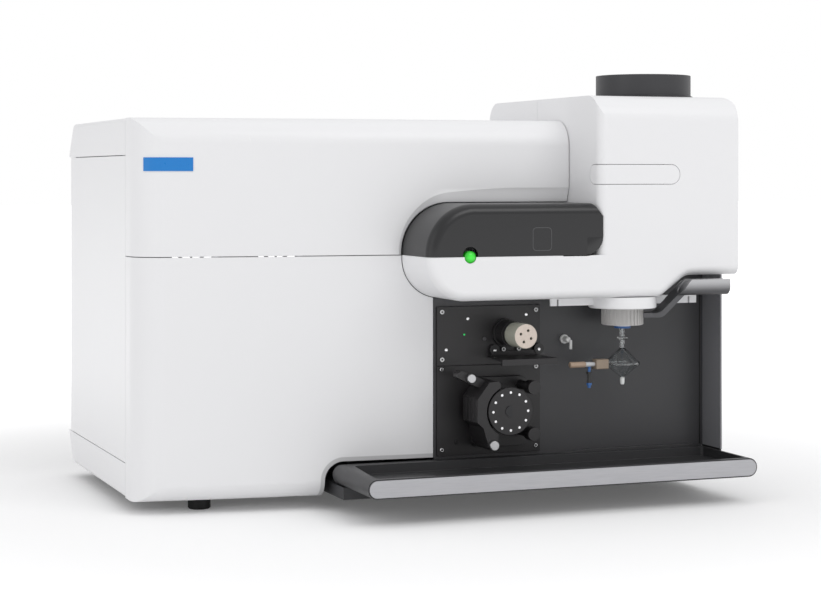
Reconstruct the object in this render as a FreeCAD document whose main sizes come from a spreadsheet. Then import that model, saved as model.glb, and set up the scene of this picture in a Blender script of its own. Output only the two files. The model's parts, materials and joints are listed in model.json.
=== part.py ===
"""Bench-top plasma atomic emission spectrometer, with its covers, torch box, sample
introduction and inner works as separate pieces.

Every piece is drawn in the shop frame of the instrument: X runs to the right from the left
side, Y runs back from the front of the torch box, and Z runs up from the bench. The
placement of each piece then moves it to the middle of the instrument's footprint.
"""
import FreeCAD, Part

import math
import os

import Sketcher

DOC = FreeCAD.newDocument("spectrometer")

# Driving dimensions in millimetres
SIZES = {
    # Main case
    "case_width": 910.0,
    "case_rear": 646.0,
    "roof_height": 584.0,
    "base_height": 20.0,
    "split_depth": 222.0,
    "front_flat": 104.0,
    "front_sweep": 54.0,
    "sweep_inset": 310.0,
    "seam_height": 379.0,
    "seam_gap": 1.0,
    "cover_wall": 3.0,
    "case_corner_radius": 48.0,
    "roof_edge_radius": 40.0,
    "skirt_edge_radius": 26.0,
    "strip_height": 56.0,
    "skirt_top": 72.0,
    "side_panel_inset": 17.0,
    "rear_lean": 40.0,
    "rear_lean_height": 54.0,
    "side_edge_radius": 6.0,
    # Lower front cover and its notch for the tray
    "cover_overlap": 49.0,
    "notch_width": 168.0,
    "notch_top": 72.5,
    "notch_radius": 28.0,
    # Torch box
    "tower_width": 238.0,
    "tower_rise": 36.0,
    "tower_rear": 418.0,
    "tower_drop": 33.0,
    "tower_front_radius": 40.0,
    "tower_side_radius": 12.0,
    "front_edge_radius": 14.0,
    "tower_rear_radius": 32.0,
    "fairing_reach": 275.0,
    "fairing_height": 65.0,
    "fairing_radius": 60.0,
    "step_start_inset": 131.0,
    "step_end_inset": 87.0,
    "step_radius": 26.0,
    # Black band beside the power button
    "band_height": 78.0,
    "band_overlap": 6.0,
    "band_radius": 74.0,
    "band_end_radius": 27.0,
    "band_end_run": 14.0,
    "band_end_drop": 20.0,
    "band_edge_radius": 16.0,
    "band_bevel": 22.0,
    "band_bevel_depth": 8.0,
    # Viewing flap on the torch box
    "flap_inset": 102.0,
    "flap_wrap": 33.0,
    "flap_rise": 121.3,
    "flap_radius": 14.6,
    "flap_gap": 0.8,
    "flap_thickness": 3.0,
    "hinge_pin_radius": 0.8,
    # Power button
    "button_inset": 65.0,
    "button_radius": 9.0,
    "button_travel": 3.0,
    "button_clearance": 0.4,
    "button_recess_lift": 3.0,
    "button_stem_radius": 4.0,
    "button_stem_reach": 14.0,
    "switch_half": 10.8,
    "switch_front": 20.0,
    "switch_back": 44.0,
    "fit_gap": 0.3,
    # Exhaust
    "collar_inset": 92.0,
    "collar_y": 139.0,
    "collar_radius": 75.0,
    "collar_wall": 2.0,
    "collar_height": 36.5,
    # Compartment
    "panel_depth": 106.0,
    "panel_sheet": 2.0,
    "side_wall_front": 50.0,
    "side_wall": 3.0,
    # Tray
    "tray_notch_gap": 7.5,
    "tray_overhang": 4.0,
    "tray_low": 41.0,
    "tray_high": 69.5,
    "tray_front": -50.0,
    "tray_back": 70.0,
    "tray_hollow": 14.0,
    "tray_rim": 16.0,
    "tray_end_rim": 16.0,
    "tray_front_rim": 8.0,
    "tray_left_rim": 15.0,
    "tray_left_slant": 13.0,
    "upstand_height": 4.5,
    "upstand_thickness": 5.7,
    "strip_proud": 0.6,
    "strip_thickness": 2.0,
    "strip_inset": 1.8,
    # Pump and valve plates
    "plate_gap": 4.0,
    "plate_width": 170.7,
    "plate_split_drop": 103.5,
    "plate_top_drop": 14.0,
    "plate_bottom": 75.0,
    "plate_thickness": 4.0,
    "screw_inset": 7.6,
    "screw_radius": 3.2,
    # Peristaltic pump
    "pump_inset": 90.5,
    "pump_z": 146.5,
    "pump_front": 32.0,
    "rotor_radius": 36.0,
    "roller_circle": 28.3,
    "roller_radius": 4.0,
    "roller_pin_radius": 1.9,
    "roller_count": 12.0,
    "rotor_shaft_radius": 8.5,
    "running_clearance": 0.05,
    "shoe_inner": 38.5,
    "shoe_width": 20.0,
    "shoe_pivot_reach": 28.2,
    "shoe_pivot_z": 97.0,
    "knob_radius": 7.4,
    "rotor_length": 58.0,
    "rotor_disc": 4.0,
    "head_thickness": 10.0,
    "post_offset": 42.0,
    "post_radius": 10.4,
    "shoe_top": 192.0,
    "shoe_pin_radius": 4.0,
    "lever_front": 50.0,
    "lever_depth": 18.0,
    "lever_length": 44.0,
    "thumb_offset": 24.0,
    "motor_radius": 28.0,
    "motor_length": 60.0,
    "shaft_depth": 20.0,
    # Switching valve
    "valve_inset": 112.0,
    "valve_drop": 55.5,
    "valve_front": 24.0,
    "valve_head_length": 38.0,
    "valve_radius": 18.5,
    "valve_body_radius": 20.0,
    "port_circle": 9.0,
    "port_radius": 2.1,
    "port_turn": -23.0,
    "bracket_drop": 93.0,
    # Torch and sample introduction
    "torch_inset": 174.5,
    "torch_y": 50.0,
    "flange_radius": 52.0,
    "flange_drop": 18.0,
    "mount_radius": 31.0,
    "mount_drop": 44.0,
    "socket_radius": 14.0,
    "seal_radius": 12.5,
    "seal_thickness": 3.5,
    "torch_length": 160.0,
    "bracket_left_reach": 123.5,
    "bracket_right_reach": 126.5,
    "bracket_front": 5.0,
    "bracket_strip": 5.0,
    "bracket_web": 75.0,
    "nut_half": 7.5,
    "nebulizer_reach": 89.5,
    "torch_tube_radius": 9.0,
    "chamber_radius": 27.0,
    "chamber_drop": 38.0,
    "chamber_rim_drop": 59.5,
    "chamber_low_drop": 80.0,
    # Torch loader handle
    "arm_rise": 11.0,
    "arm_thickness": 7.0,
    "bend_start_inset": 126.0,
    "bend_end_inset": 88.0,
    "grip_rise": 59.0,
    "grip_radius": 13.0,
    "grip_wall": 3.5,
    "grip_left_inset": 108.0,
    "grip_right_inset": 22.0,
    "grip_front": -14.0,
    # Rear services
    "fan_radius": 56.0,
    "fan_x": 200.0,
    "fan_pitch": 150.0,
    "fan_z": 400.0,
    "inlet_inset": 110.0,
    "inlet_z": 130.0,
    "inlet_plate": 50.0,
    "rocker_width": 20.0,
    "rocker_tilt": 10.0,
    "trunnion_radius": 1.2,
    "trunnion_length": 1.5,
    "port_width": 16.0,
    "gas_z": 150.0,
    "gas_radius": 6.5,
    "gas_bore": 3.0,
    "guard_thickness": 2.0,
    "fan_depth": 25.0,
    "fan_hub_radius": 20.0,
    "fan_pin_radius": 3.0,
    # Inner works
    "bench_thickness": 12.0,
    "mirror_radius": 28.0,
    "mirror_width": 80.0,
    "mirror_x": 120.0,
    "supply_left": 60.0,
    "supply_width": 230.0,
    "supply_height": 110.0,
    "board_left": 340.0,
    "board_width": 260.0,
    "board_depth": 210.0,
    "works_gap": 68.0,
    "guide_drop": 34.0,
    "guide_height": 46.0,
    "guide_width": 70.0,
    # Frame
    "frame_tube": 20.0,
    "foot_radius": 17.0,
    "foot_inset": 110.0,
    "foot_front": 212.0,
    "pan_front": 224.0,
    "pan_edge": 92.0,
}


class Dim:
    """A length: its number, and the sheet expression that features are bound to."""

    def __init__(self, number, text):
        self.number = float(number)
        self.text = text

    def __float__(self):
        return self.number

    def __add__(self, other):
        other = dim(other)
        return Dim(self.number + other.number, "(" + self.text + " + " + other.text + ")")

    def __sub__(self, other):
        other = dim(other)
        return Dim(self.number - other.number, "(" + self.text + " - " + other.text + ")")

    def __mul__(self, other):
        other = dim(other)
        return Dim(self.number * other.number, "(" + self.text + " * " + other.text + ")")

    def __truediv__(self, other):
        other = dim(other)
        return Dim(self.number / other.number, "(" + self.text + " / " + other.text + ")")

    def __neg__(self):
        return Dim(-self.number, "(0 - " + self.text + ")")

    def __radd__(self, other):
        return dim(other) + self

    def __rsub__(self, other):
        return dim(other) - self

    def __rmul__(self, other):
        return dim(other) * self


def dim(value):
    """A plain number or a size as a Dim."""
    if isinstance(value, Dim):
        return value
    return Dim(value, repr(float(value)))


def chord(radius, u):
    """Height of a circle about the origin at a distance u from its middle."""
    radius, u = dim(radius), dim(u)
    text = "sqrt(%s * %s - %s * %s)" % (radius.text, radius.text, u.text, u.text)
    return Dim(math.sqrt(radius.number ** 2 - u.number ** 2), text)


class Sheet:
    """The spreadsheet of driving dimensions, each read as an attribute."""

    def __init__(self, table):
        self.sheet = DOC.addObject("Spreadsheet::Sheet", "size")
        for row, (alias, value) in enumerate(table.items(), start=1):
            self.sheet.set("A%d" % row, alias)
            self.sheet.set("B%d" % row, "%g" % value)
            self.sheet.setAlias("B%d" % row, alias)
        DOC.recompute()

    def __getattr__(self, alias):
        return Dim(self.sheet.get(alias), "size." + alias)


size = Sheet(SIZES)

# Places that follow from the case's width and depth
size.sweep_run = size.case_width - size.sweep_inset
size.tower_left = size.case_width - size.tower_width
size.step_start = size.case_width - size.step_start_inset
size.step_end = size.case_width - size.step_end_inset
size.fairing_left = size.tower_left - size.fairing_reach
size.band_right = size.tower_left + size.band_overlap
size.button_x = size.fairing_left + size.button_inset
size.flap_right = size.case_width - size.flap_inset
size.collar_x = size.case_width - size.collar_inset
size.cover_right = size.fairing_left + size.cover_overlap
size.notch_left = size.cover_right - size.notch_width
size.tray_left = size.notch_left + size.tray_notch_gap
size.tray_right = size.case_width + size.tray_overhang
size.plate_left = size.cover_right + size.plate_gap
size.plate_right = size.plate_left + size.plate_width
size.pump_x = size.plate_left + size.pump_inset
size.shoe_pivot_x = size.pump_x - size.shoe_pivot_reach
size.valve_x = size.plate_left + size.valve_inset
size.torch_x = size.case_width - size.torch_inset
size.bracket_left = size.torch_x - size.bracket_left_reach
size.bracket_right = size.torch_x + size.bracket_right_reach
size.nebulizer_left = size.torch_x - size.nebulizer_reach
size.arm_bend_start = size.case_width - size.bend_start_inset
size.arm_bend_end = size.case_width - size.bend_end_inset
size.grip_left = size.case_width - size.grip_left_inset
size.grip_right = size.case_width - size.grip_right_inset
size.inlet_x = size.case_width - size.inlet_inset
size.side_panel_rear = size.case_rear - size.side_panel_inset

# Levels that follow from the roof and from the seam between the front covers
size.strip_low = size.roof_height - size.strip_height
size.tower_top = size.roof_height + size.tower_rise
size.collar_top = size.tower_top + size.collar_height
size.band_top = size.seam_height + size.band_height
size.tower_bottom = size.seam_height - size.tower_drop
size.flap_height = size.seam_height + size.flap_rise
size.guide_low = size.seam_height - size.guide_drop
size.fairing_bottom = size.seam_height - size.fairing_height
size.bay_top = size.fairing_bottom
size.plate_top = size.bay_top - size.plate_top_drop
size.plate_split = size.bay_top - size.plate_split_drop
size.valve_z = size.bay_top - size.valve_drop
size.bracket_level = size.bay_top - size.bracket_drop
size.flange_low = size.bay_top - size.flange_drop
size.mount_low = size.bay_top - size.mount_drop
size.torch_top = size.mount_low + size.torch_length
size.chamber_high = size.mount_low - size.chamber_drop
size.chamber_rim = size.mount_low - size.chamber_rim_drop
size.chamber_low = size.mount_low - size.chamber_low_drop
size.arm_low = size.mount_low + size.arm_rise
size.grip_high = size.arm_low + size.grip_rise

# The middle of the footprint, where the instrument's own origin lies
CENTRE_X = size.tray_right / 2
CENTRE_Y = (size.case_rear + size.tray_front) / 2

PLANE_ROLES = {"x": "YZ_Plane", "y": "XZ_Plane", "z": "XY_Plane"}
TURNS = {
    "up": (FreeCAD.Vector(0, 0, 1), 0),
    "front": (FreeCAD.Vector(1, 0, 0), 90),
    "back": (FreeCAD.Vector(1, 0, 0), -90),
    "right": (FreeCAD.Vector(0, 1, 0), 90),
    "down": (FreeCAD.Vector(1, 0, 0), 180),
}
PIECES = {}


def place(item, x=0, y=0, z=0, facing="up"):
    """Put an item at a point of the shop frame, with its own Z axis facing one way."""
    axis, angle = TURNS[facing]
    item.Placement = FreeCAD.Placement(FreeCAD.Vector(), FreeCAD.Rotation(axis, angle))
    item.setExpression("Placement.Base.x", (dim(x) - CENTRE_X).text)
    item.setExpression("Placement.Base.y", (dim(y) - CENTRE_Y).text)
    item.setExpression("Placement.Base.z", dim(z).text)


def new_body(name, x=0, y=0, z=0, facing="up"):
    """An empty body that is placed in the shop frame."""
    body = DOC.addObject("PartDesign::Body", name)
    body.Label = name
    place(body, x, y, z, facing)
    return body


def new_sketch(body, normal, offset):
    """A sketch across one axis of a body, at an offset along that axis."""
    sketch = body.newObject("Sketcher::SketchObject", body.Name + "_outline")
    plane = next(item for item in body.Origin.OriginFeatures
                 if item.Role == PLANE_ROLES[normal])
    sketch.AttachmentSupport = [(plane, "")]
    sketch.MapMode = "FlatFace"
    offset = -dim(offset) if normal == "y" else dim(offset)
    sketch.setExpression("AttachmentOffset.Base.z", offset.text)
    return sketch


def bind(sketch, kind, value, *where):
    """Add one dimension to a sketch and tie it to the sheet."""
    value = dim(value)
    number = sketch.addConstraint(Sketcher.Constraint(kind, *where, value.number))
    sketch.setExpression("Constraints[%d]" % number, value.text)


def flat(u, v):
    return FreeCAD.Vector(float(u), float(v), 0)


class Bow:
    """An outline's corner that is reached by an arc of a given radius.

    The side is +1 where the arc bulges to the left of travel and -1 where to the right.
    A half turn has its centre straight between its ends.
    """

    def __init__(self, u, v, radius, side, half_turn=False):
        self.u = dim(u)
        self.v = dim(v)
        self.radius = dim(radius)
        self.side = side
        self.half_turn = half_turn

    def middle(self, start):
        """A point on the arc half way along."""
        along = flat(self.u, self.v) - start
        half = along.Length / 2
        rise = self.radius.number - math.sqrt(max(self.radius.number ** 2 - half ** 2, 0))
        across = FreeCAD.Vector(-along.y, along.x, 0).normalize() * rise * self.side
        return start + along * 0.5 + across


def draw(sketch, corners):
    """Draw a closed outline of lines and arcs with each corner tied to the sheet."""
    spots = [(c.u, c.v) if isinstance(c, Bow) else (dim(c[0]), dim(c[1])) for c in corners]
    count = len(corners)
    ends = []
    for index in range(count):
        start = flat(*spots[index])
        goal = corners[(index + 1) % count]
        finish = flat(*spots[(index + 1) % count])
        if isinstance(goal, Bow):
            sketch.addGeometry(Part.Arc(start, goal.middle(start), finish), False)
            if goal.half_turn and abs(start.x - finish.x) < 1e-6:
                bind(sketch, "DistanceX", goal.u, -1, 1, index, 3)
            elif goal.half_turn:
                bind(sketch, "DistanceY", goal.v, -1, 1, index, 3)
            else:
                bind(sketch, "Radius", goal.radius, index)
        else:
            sketch.addGeometry(Part.LineSegment(start, finish), False)
        flipped = (sketch.getPoint(index, 1) - start).Length > 1e-6
        ends.append((2, 1) if flipped else (1, 2))
    for index in range(count):
        after = (index + 1) % count
        sketch.addConstraint(
            Sketcher.Constraint("Coincident", index, ends[index][1], after, ends[after][0]))
        bind(sketch, "DistanceX", spots[index][0], -1, 1, index, ends[index][0])
        bind(sketch, "DistanceY", spots[index][1], -1, 1, index, ends[index][0])


def draw_circle(sketch, u, v, radius):
    """Draw a circle tied to the sheet."""
    index = sketch.addGeometry(Part.Circle(flat(u, v), FreeCAD.Vector(0, 0, 1),
                                           float(radius)), False)
    bind(sketch, "Radius", radius, index)
    bind(sketch, "DistanceX", u, -1, 1, index, 3)
    bind(sketch, "DistanceY", v, -1, 1, index, 3)


def box_outline(u_low, u_high, v_low, v_high):
    return [(u_low, v_low), (u_high, v_low), (u_high, v_high), (u_low, v_high)]


def slot_outline(u_low, u_high, v_middle, radius):
    """A slot with full round ends, by its two end tangents, its middle line and radius."""
    left = dim(u_low) + radius
    right = dim(u_high) - radius
    low = dim(v_middle) - radius
    high = dim(v_middle) + radius
    return [Bow(left, low, radius, -1, True), (right, low),
            Bow(right, high, radius, -1, True), (left, high)]


def finish_feature(feature, *, cuts=False):
    """Recompute, and stop if a feature failed or a cut took nothing away."""
    before = feature.BaseFeature.Shape.Volume if cuts and feature.BaseFeature else None
    DOC.recompute()
    if feature.State and ("Invalid" in feature.State or "Error" in feature.State):
        raise RuntimeError(feature.Name + " failed: " + str(feature.State))
    if before is not None and feature.Shape.Volume > before - 1e-6:
        raise RuntimeError(feature.Name + " cut nothing")
    return feature


def shape_sketch(body, normal, offset, outline):
    """A sketch that holds either a list of corners or a circle (u, v, radius)."""
    sketch = new_sketch(body, normal, offset)
    if isinstance(outline, tuple):
        draw_circle(sketch, *outline)
    else:
        draw(sketch, outline)
    return sketch


def pad(body, normal, outline, low, high):
    """Add the prism of an outline between two depths along an axis."""
    low, high = dim(low), dim(high)
    sketch = shape_sketch(body, normal, high if normal == "y" else low, outline)
    feature = body.newObject("PartDesign::Pad", body.Name + "_pad")
    feature.Profile = sketch
    feature.setExpression("Length", (high - low).text)
    return finish_feature(feature)


def cut(body, normal, outline, low, high):
    """Take the prism of an outline away between two depths along an axis."""
    low, high = dim(low), dim(high)
    sketch = shape_sketch(body, normal, low if normal == "y" else high, outline)
    feature = body.newObject("PartDesign::Pocket", body.Name + "_pocket")
    feature.Profile = sketch
    feature.setExpression("Length", (high - low).text)
    return finish_feature(feature, cuts=True)


def loft(body, normal, first, first_depth, last, last_depth):
    """Add the straight-sided form between two outlines at two depths."""
    start = shape_sketch(body, normal, first_depth, first)
    finish = shape_sketch(body, normal, last_depth, last)
    feature = body.newObject("PartDesign::AdditiveLoft", body.Name + "_loft")
    feature.Profile = start
    feature.Sections = [finish]
    feature.Ruled = True
    return finish_feature(feature)


def spin(body, profile, removing=False):
    """Turn a profile of (radius, height) corners about the body's own Z axis."""
    sketch = shape_sketch(body, "y", 0, profile)
    kind = "PartDesign::Groove" if removing else "PartDesign::Revolution"
    feature = body.newObject(kind, body.Name + "_turned")
    feature.Profile = sketch
    feature.ReferenceAxis = (sketch, ["V_Axis"])
    feature.Angle = 360.0
    return finish_feature(feature, cuts=removing)


def edges(feature, test):
    """Names of a feature's edges that pass a test."""
    return ["Edge%d" % number for number, edge in enumerate(feature.Shape.Edges, start=1)
            if test(edge)]


def upright(edge, axis):
    """True for a straight edge along an axis (0, 1 or 2)."""
    if not isinstance(edge.Curve, Part.Line):
        return False
    return abs(abs(edge.Curve.Direction[axis]) - 1) < 1e-6


def centre_near(edge, **wanted):
    """True where the middle of an edge lies at the wanted x, y or z."""
    middle = edge.valueAt((edge.FirstParameter + edge.LastParameter) / 2)
    places = {"x": middle.x, "y": middle.y, "z": middle.z}
    return all(abs(places[key] - float(value)) < 0.05 for key, value in wanted.items())


def flat_in(edge, axis, value):
    """True where an edge lies wholly in the plane at a value of an axis."""
    spots = [edge.valueAt(edge.FirstParameter + share * (edge.LastParameter - edge.FirstParameter))
             for share in (0, 0.3, 0.7, 1)]
    return all(abs(spot[axis] - float(value)) < 0.01 for spot in spots)


def round_edges(body, radius, test, kind="Fillet"):
    """Round or bevel the edges of a body's last feature that pass a test."""
    tip = body.Tip
    names = edges(tip, test)
    if not names:
        raise RuntimeError(body.Name + " has no edge to round")
    feature = body.newObject("PartDesign::" + kind, body.Name + "_" + kind.lower())
    feature.Base = (tip, names)
    feature.setExpression("Radius" if kind == "Fillet" else "Size", dim(radius).text)
    return finish_feature(feature)


def bevel_edges(body, amount, test):
    return round_edges(body, amount, test, kind="Chamfer")


def boolean(kind, name, base, tool):
    """A Part boolean of two items: Cut, Common or Fuse."""
    item = DOC.addObject("Part::" + kind, name)
    item.Base = base
    item.Tool = tool
    item.Label = name
    DOC.recompute()
    if item.Shape.isNull() or not item.Shape.isValid():
        raise RuntimeError(name + " failed")
    return item


def group(name, members):
    """Several like solids as one piece."""
    item = DOC.addObject("Part::Compound", name)
    item.Links = members
    item.Label = name
    DOC.recompute()
    return item


def keep(name, item):
    """List a finished piece for export."""
    item.Label = name
    PIECES[name] = item
    return item


def block(name, normal, outline, low, high):
    """A body of one prism."""
    body = new_body(name)
    pad(body, normal, outline, low, high)
    return body


def turned(name, profile, x, y, z, facing="up"):
    """A body turned from a profile and stood at a point."""
    body = new_body(name, x, y, z, facing)
    spin(body, profile)
    return body


def disc_profile(radius, low, high, bore=0):
    return box_outline(bore, radius, low, high)


# Main case

SWEEP_RADIUS = ((size.sweep_run * size.sweep_run + size.front_sweep * size.front_sweep)
                / (size.front_sweep * 2))


def front_at(x):
    """Depth of the bowed front at a distance from the left side."""
    share = (size.sweep_run - x) / size.sweep_run
    return size.front_flat + size.front_sweep * share * share


def front_outline(x_left, x_right, y_back, inset=0):
    """Plan outline behind the bowed front, with the front set in by a wall."""
    start = front_at(dim(x_left)) + inset
    run_end = size.front_flat + inset
    if float(x_right) <= size.sweep_run.number:
        finish = front_at(dim(x_right)) + inset
        return [(x_left, y_back), (x_left, start),
                Bow(x_right, finish, SWEEP_RADIUS, -1), (x_right, y_back)]
    return [(x_left, y_back), (x_left, start), Bow(size.sweep_run, run_end, SWEEP_RADIUS, -1),
            (x_right, run_end), (x_right, y_back)]


def case_front(name, x_right, low, high, inset=0, top=0, bottom=0):
    """Front of the case: a bowed prism with an upright round corner and rounded long edges.

    The plan corner is rounded on one body and the long edges on another, and the piece is
    what both share, so the corner runs straight up through the rounded edge.
    """
    back = size.split_depth if not inset else size.split_depth + size.cover_wall
    inset = dim(inset)
    corner = new_body(name + "_corner")
    pad(corner, "z", front_outline(inset, x_right, back, inset), low, high)
    round_edges(corner, size.case_corner_radius - inset,
                lambda e: upright(e, 2) and centre_near(e, x=inset, y=front_at(inset) + inset))
    if not top and not bottom:
        return corner
    edge_body = new_body(name + "_edges")
    pad(edge_body, "z", front_outline(inset, x_right, back, inset), low, high)

    def long_front(level):
        return lambda e: flat_in(e, 2, level) and not upright(e, 1) and not flat_in(e, 1, back)

    if top:
        round_edges(edge_body, dim(top) - inset, long_front(high))
    if bottom:
        round_edges(edge_body, dim(bottom) - inset, long_front(low))
    return boolean("Common", name + "_form", corner, edge_body)


def band_outline(grow, x_right, z_low):
    """Outline of the black band seen from the front, grown all round by a margin."""
    left = size.fairing_left - grow
    high = size.band_top + grow
    radius = size.band_radius + grow
    return [(left, z_low), (x_right, z_low), (x_right, high), (left + radius, high),
            Bow(left, high - radius, radius, -1)]


def band_end_outline(grow):
    """Outline of the band's right end: round below and bevelled above."""
    grow = dim(grow)
    left = size.tower_left - 60
    low = size.seam_height - grow
    high = size.band_top + grow
    right = size.band_right + grow
    radius = size.band_end_radius + grow
    return [(left, low), (right - radius, low), Bow(right, low + radius, radius, -1),
            (right, high - size.band_end_drop), (right - size.band_end_run, high), (left, high)]


def band_scoop(name, grow):
    """Cutter for the bevel that leads from the bowed front down to the band."""
    scoop = new_body(name)
    deep = size.front_flat + size.band_bevel_depth + grow
    shallow = size.front_flat - size.band_bevel_depth
    slope = size.band_bevel / size.band_bevel_depth
    base = size.seam_gap + grow
    right = size.tower_left + 60
    low = size.seam_height - 60
    loft(scoop, "y", band_outline(base, right, low), deep,
         band_outline(base + (deep - shallow) * slope, right, low), shallow)
    return scoop


def make_upper_front_cover():
    """Upper front cover: bowed front, rounded roof edge, and a bevel round the black band."""
    wall = size.cover_wall
    right = size.tower_left - size.seam_gap
    low = size.seam_height + size.seam_gap / 2
    outer = case_front("upper_front_outer", right, low, size.roof_height,
                       top=size.roof_edge_radius)
    outer = boolean("Cut", "upper_front_scooped", outer, band_scoop("scoop_outer", 0))
    inner = case_front("upper_front_inner", right + 20, low - 20, size.roof_height - wall,
                       inset=wall, top=size.roof_edge_radius)
    inner = boolean("Cut", "upper_front_hollow", inner, band_scoop("scoop_inner", wall))
    shell = boolean("Cut", "upper_front_shell", outer, inner)
    opening = new_body("band_opening")
    pad(opening, "y", band_outline(size.seam_gap, right + 30, low - 5), 60,
        size.split_depth - 10)
    keep("upper_front_cover", boolean("Cut", "upper_front_opened", shell, opening))


def make_lower_front_cover():
    """Lower front cover with a notch for the tray and an edge return round the notch."""
    wall = size.cover_wall
    high = size.seam_height - size.seam_gap / 2
    outer = case_front("lower_front_outer", size.cover_right, size.base_height, high,
                       bottom=size.skirt_edge_radius)
    inner = case_front("lower_front_inner", size.cover_right - wall, size.base_height + wall,
                       high + 20, inset=wall, bottom=size.skirt_edge_radius)
    shell = boolean("Cut", "lower_front_shell", outer, inner)
    notch = new_body("tray_notch")
    pad(notch, "y", box_outline(size.notch_left, size.cover_right + 5, 0, size.notch_top),
        40, size.split_depth + 5)
    round_edges(notch, size.notch_radius,
                lambda e: upright(e, 1) and centre_near(e, x=size.notch_left,
                                                        z=size.notch_top))
    shell = boolean("Cut", "lower_front_notched", shell, notch)
    fairing = new_body("fairing_clearance")
    gap = size.seam_gap
    left = size.fairing_left - gap
    low = size.fairing_bottom - gap
    pad(fairing, "y", box_outline(left, size.tower_left, low, high + 5),
        40, size.split_depth + 5)
    round_edges(fairing, size.fairing_radius + gap,
                lambda e: upright(e, 1) and centre_near(e, x=left, z=low))
    shell = boolean("Cut", "lower_front_cleared", shell, fairing)
    foot_hole = turned("foot_hole", disc_profile(size.foot_radius - 2, size.base_height - 1,
                                                 size.base_height + wall + 1),
                       size.foot_inset, size.foot_front, 0)
    keep("lower_front_cover", boolean("Cut", "lower_front_cover", shell, foot_hole))


def rear_wedges(body, x_low, x_high, back):
    """Lean the back of a roof or skirt piece inwards, above and below the side panels."""
    lean = size.rear_lean
    tall = size.rear_lean_height
    roof = size.roof_height
    cut(body, "x", [(back, roof - tall), (back + 5, roof - tall), (back + 5, roof + 1),
                    (back - lean, roof + 1), (back - lean, roof)], x_low, x_high)


def roof_solid(name, inset):
    """Roof of the case behind the split, with a leaning back edge."""
    body = new_body(name)
    inset = dim(inset)
    front = size.split_depth + size.seam_gap
    low = size.strip_low + size.seam_gap
    if inset.number:
        front = front - size.cover_wall
        low = low - size.cover_wall
    outline = box_outline(inset, size.case_width - inset, front, size.case_rear - inset)
    pad(body, "z", outline, low, size.roof_height - inset)
    back = size.case_rear - inset
    rear_wedges(body, -5, size.case_width + 5, back)
    if not inset.number:
        round_edges(body, size.side_edge_radius,
                    lambda e: upright(e, 1) and abs(e.CenterOfMass.z - float(size.roof_height)) < 1)
    return body


def make_roof_cover():
    """Roof cover with side strips; the torch box's rear hump sits over its right side."""
    outer = roof_solid("roof_outer", 0)
    inner = roof_solid("roof_inner", size.cover_wall)
    keep("roof_cover", boolean("Cut", "roof_cover", outer, inner))


def make_base_skirt():
    """Skirt round the foot of the case behind the split: two sides and a back."""
    wall = size.cover_wall
    front = size.split_depth + size.seam_gap
    high = size.skirt_top - size.seam_gap
    outer = block("skirt_outer", "z", box_outline(0, size.case_width, front, size.case_rear),
                  size.base_height, high)
    tall = high - size.base_height
    lean = size.rear_lean
    back = size.case_rear
    cut(outer, "x", [(back, high), (back - lean, size.base_height),
                     (back - lean, size.base_height - 1), (back + 5, size.base_height - 1),
                     (back + 5, high)], -5, size.case_width + 5)
    round_edges(outer, size.side_edge_radius,
                lambda e: upright(e, 1) and centre_near(e, z=size.base_height))
    inner = block("skirt_inner", "z",
                  box_outline(wall, size.case_width - wall, front - 5, back - wall),
                  size.base_height - 5, high + 5)
    over = 5
    cut(inner, "x", [(back - wall + lean * over / tall, high + over),
                     (back - wall - lean * (tall + over) / tall, size.base_height - over),
                     (back + over, size.base_height - over), (back + over, high + over)],
        0, size.case_width)
    keep("base_skirt", boolean("Cut", "base_skirt", outer, inner))


def side_panel(name, x_low, vents):
    """Flat side panel with a folded edge all round; the right one has cooling louvres."""
    wall = size.cover_wall
    gap = size.seam_gap
    front = size.split_depth + gap
    body = block(name, "x", box_outline(front, size.side_panel_rear,
                                        size.skirt_top, size.strip_low),
                 x_low, x_low + wall)
    if vents:
        pitch = 16
        slot = 6
        first = size.strip_low - 60
        for row in range(10):
            level = first - row * pitch
            cut(body, "x", slot_outline(size.tower_rear + 60, size.side_panel_rear - 40,
                                        level, dim(slot) / 2), x_low, x_low + wall)
    keep(name, body)


def make_side_panels():
    side_panel("left_side_panel", dim(0), vents=False)
    side_panel("right_side_panel", size.case_width - size.cover_wall, vents=True)


# Frame, base and feet

def make_base_chassis():
    """Folded steel base pan with an upturned edge and a floor that runs forward for the tray."""
    wall = size.cover_wall
    sheet = size.panel_sheet
    low = size.base_height + wall
    left = wall
    right = size.case_width - wall
    front = size.pan_front
    body = block("base_chassis", "z", box_outline(left, right, front, REAR_FACE),
                 low, size.pan_edge)
    cut(body, "z", box_outline(left + sheet, right - sheet, front + sheet, REAR_FACE - sheet),
        low + sheet, size.pan_edge + 1)
    middle = size.notch_left + 12
    pad(body, "z", [(left + 60, front - 30), (middle, front - 30), (middle, size.tray_back),
                    (right - 2, size.tray_back), (right - 2, front + 1), (left + 60, front + 1)],
        low, low + sheet)
    pad(body, "z", box_outline(middle, right - 2, size.tray_back, front + 1), low, size.tray_low)
    cut(body, "z", box_outline(middle + sheet, right - 2 - sheet, size.tray_back + sheet, front),
        low + sheet, size.tray_low - sheet)
    keep("base_chassis", body)


def make_feet():
    """Four rubber feet under the base pan."""
    low = dim(0)
    high = size.base_height + size.cover_wall
    radius = size.foot_radius
    profile = [(0, low), (radius - 2, low), (radius, low + 2), (radius, 14), (radius - 4, high),
               (0, high)]
    xs = (size.foot_inset, size.case_width - size.foot_inset)
    ys = (size.foot_front, size.case_rear - size.rear_lean - 60)
    feet = [turned("foot_%d" % (index + 1), profile, x, y, 0)
            for index, (x, y) in enumerate((x, y) for x in xs for y in ys)]
    keep("levelling_feet", group("levelling_feet", feet))


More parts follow.
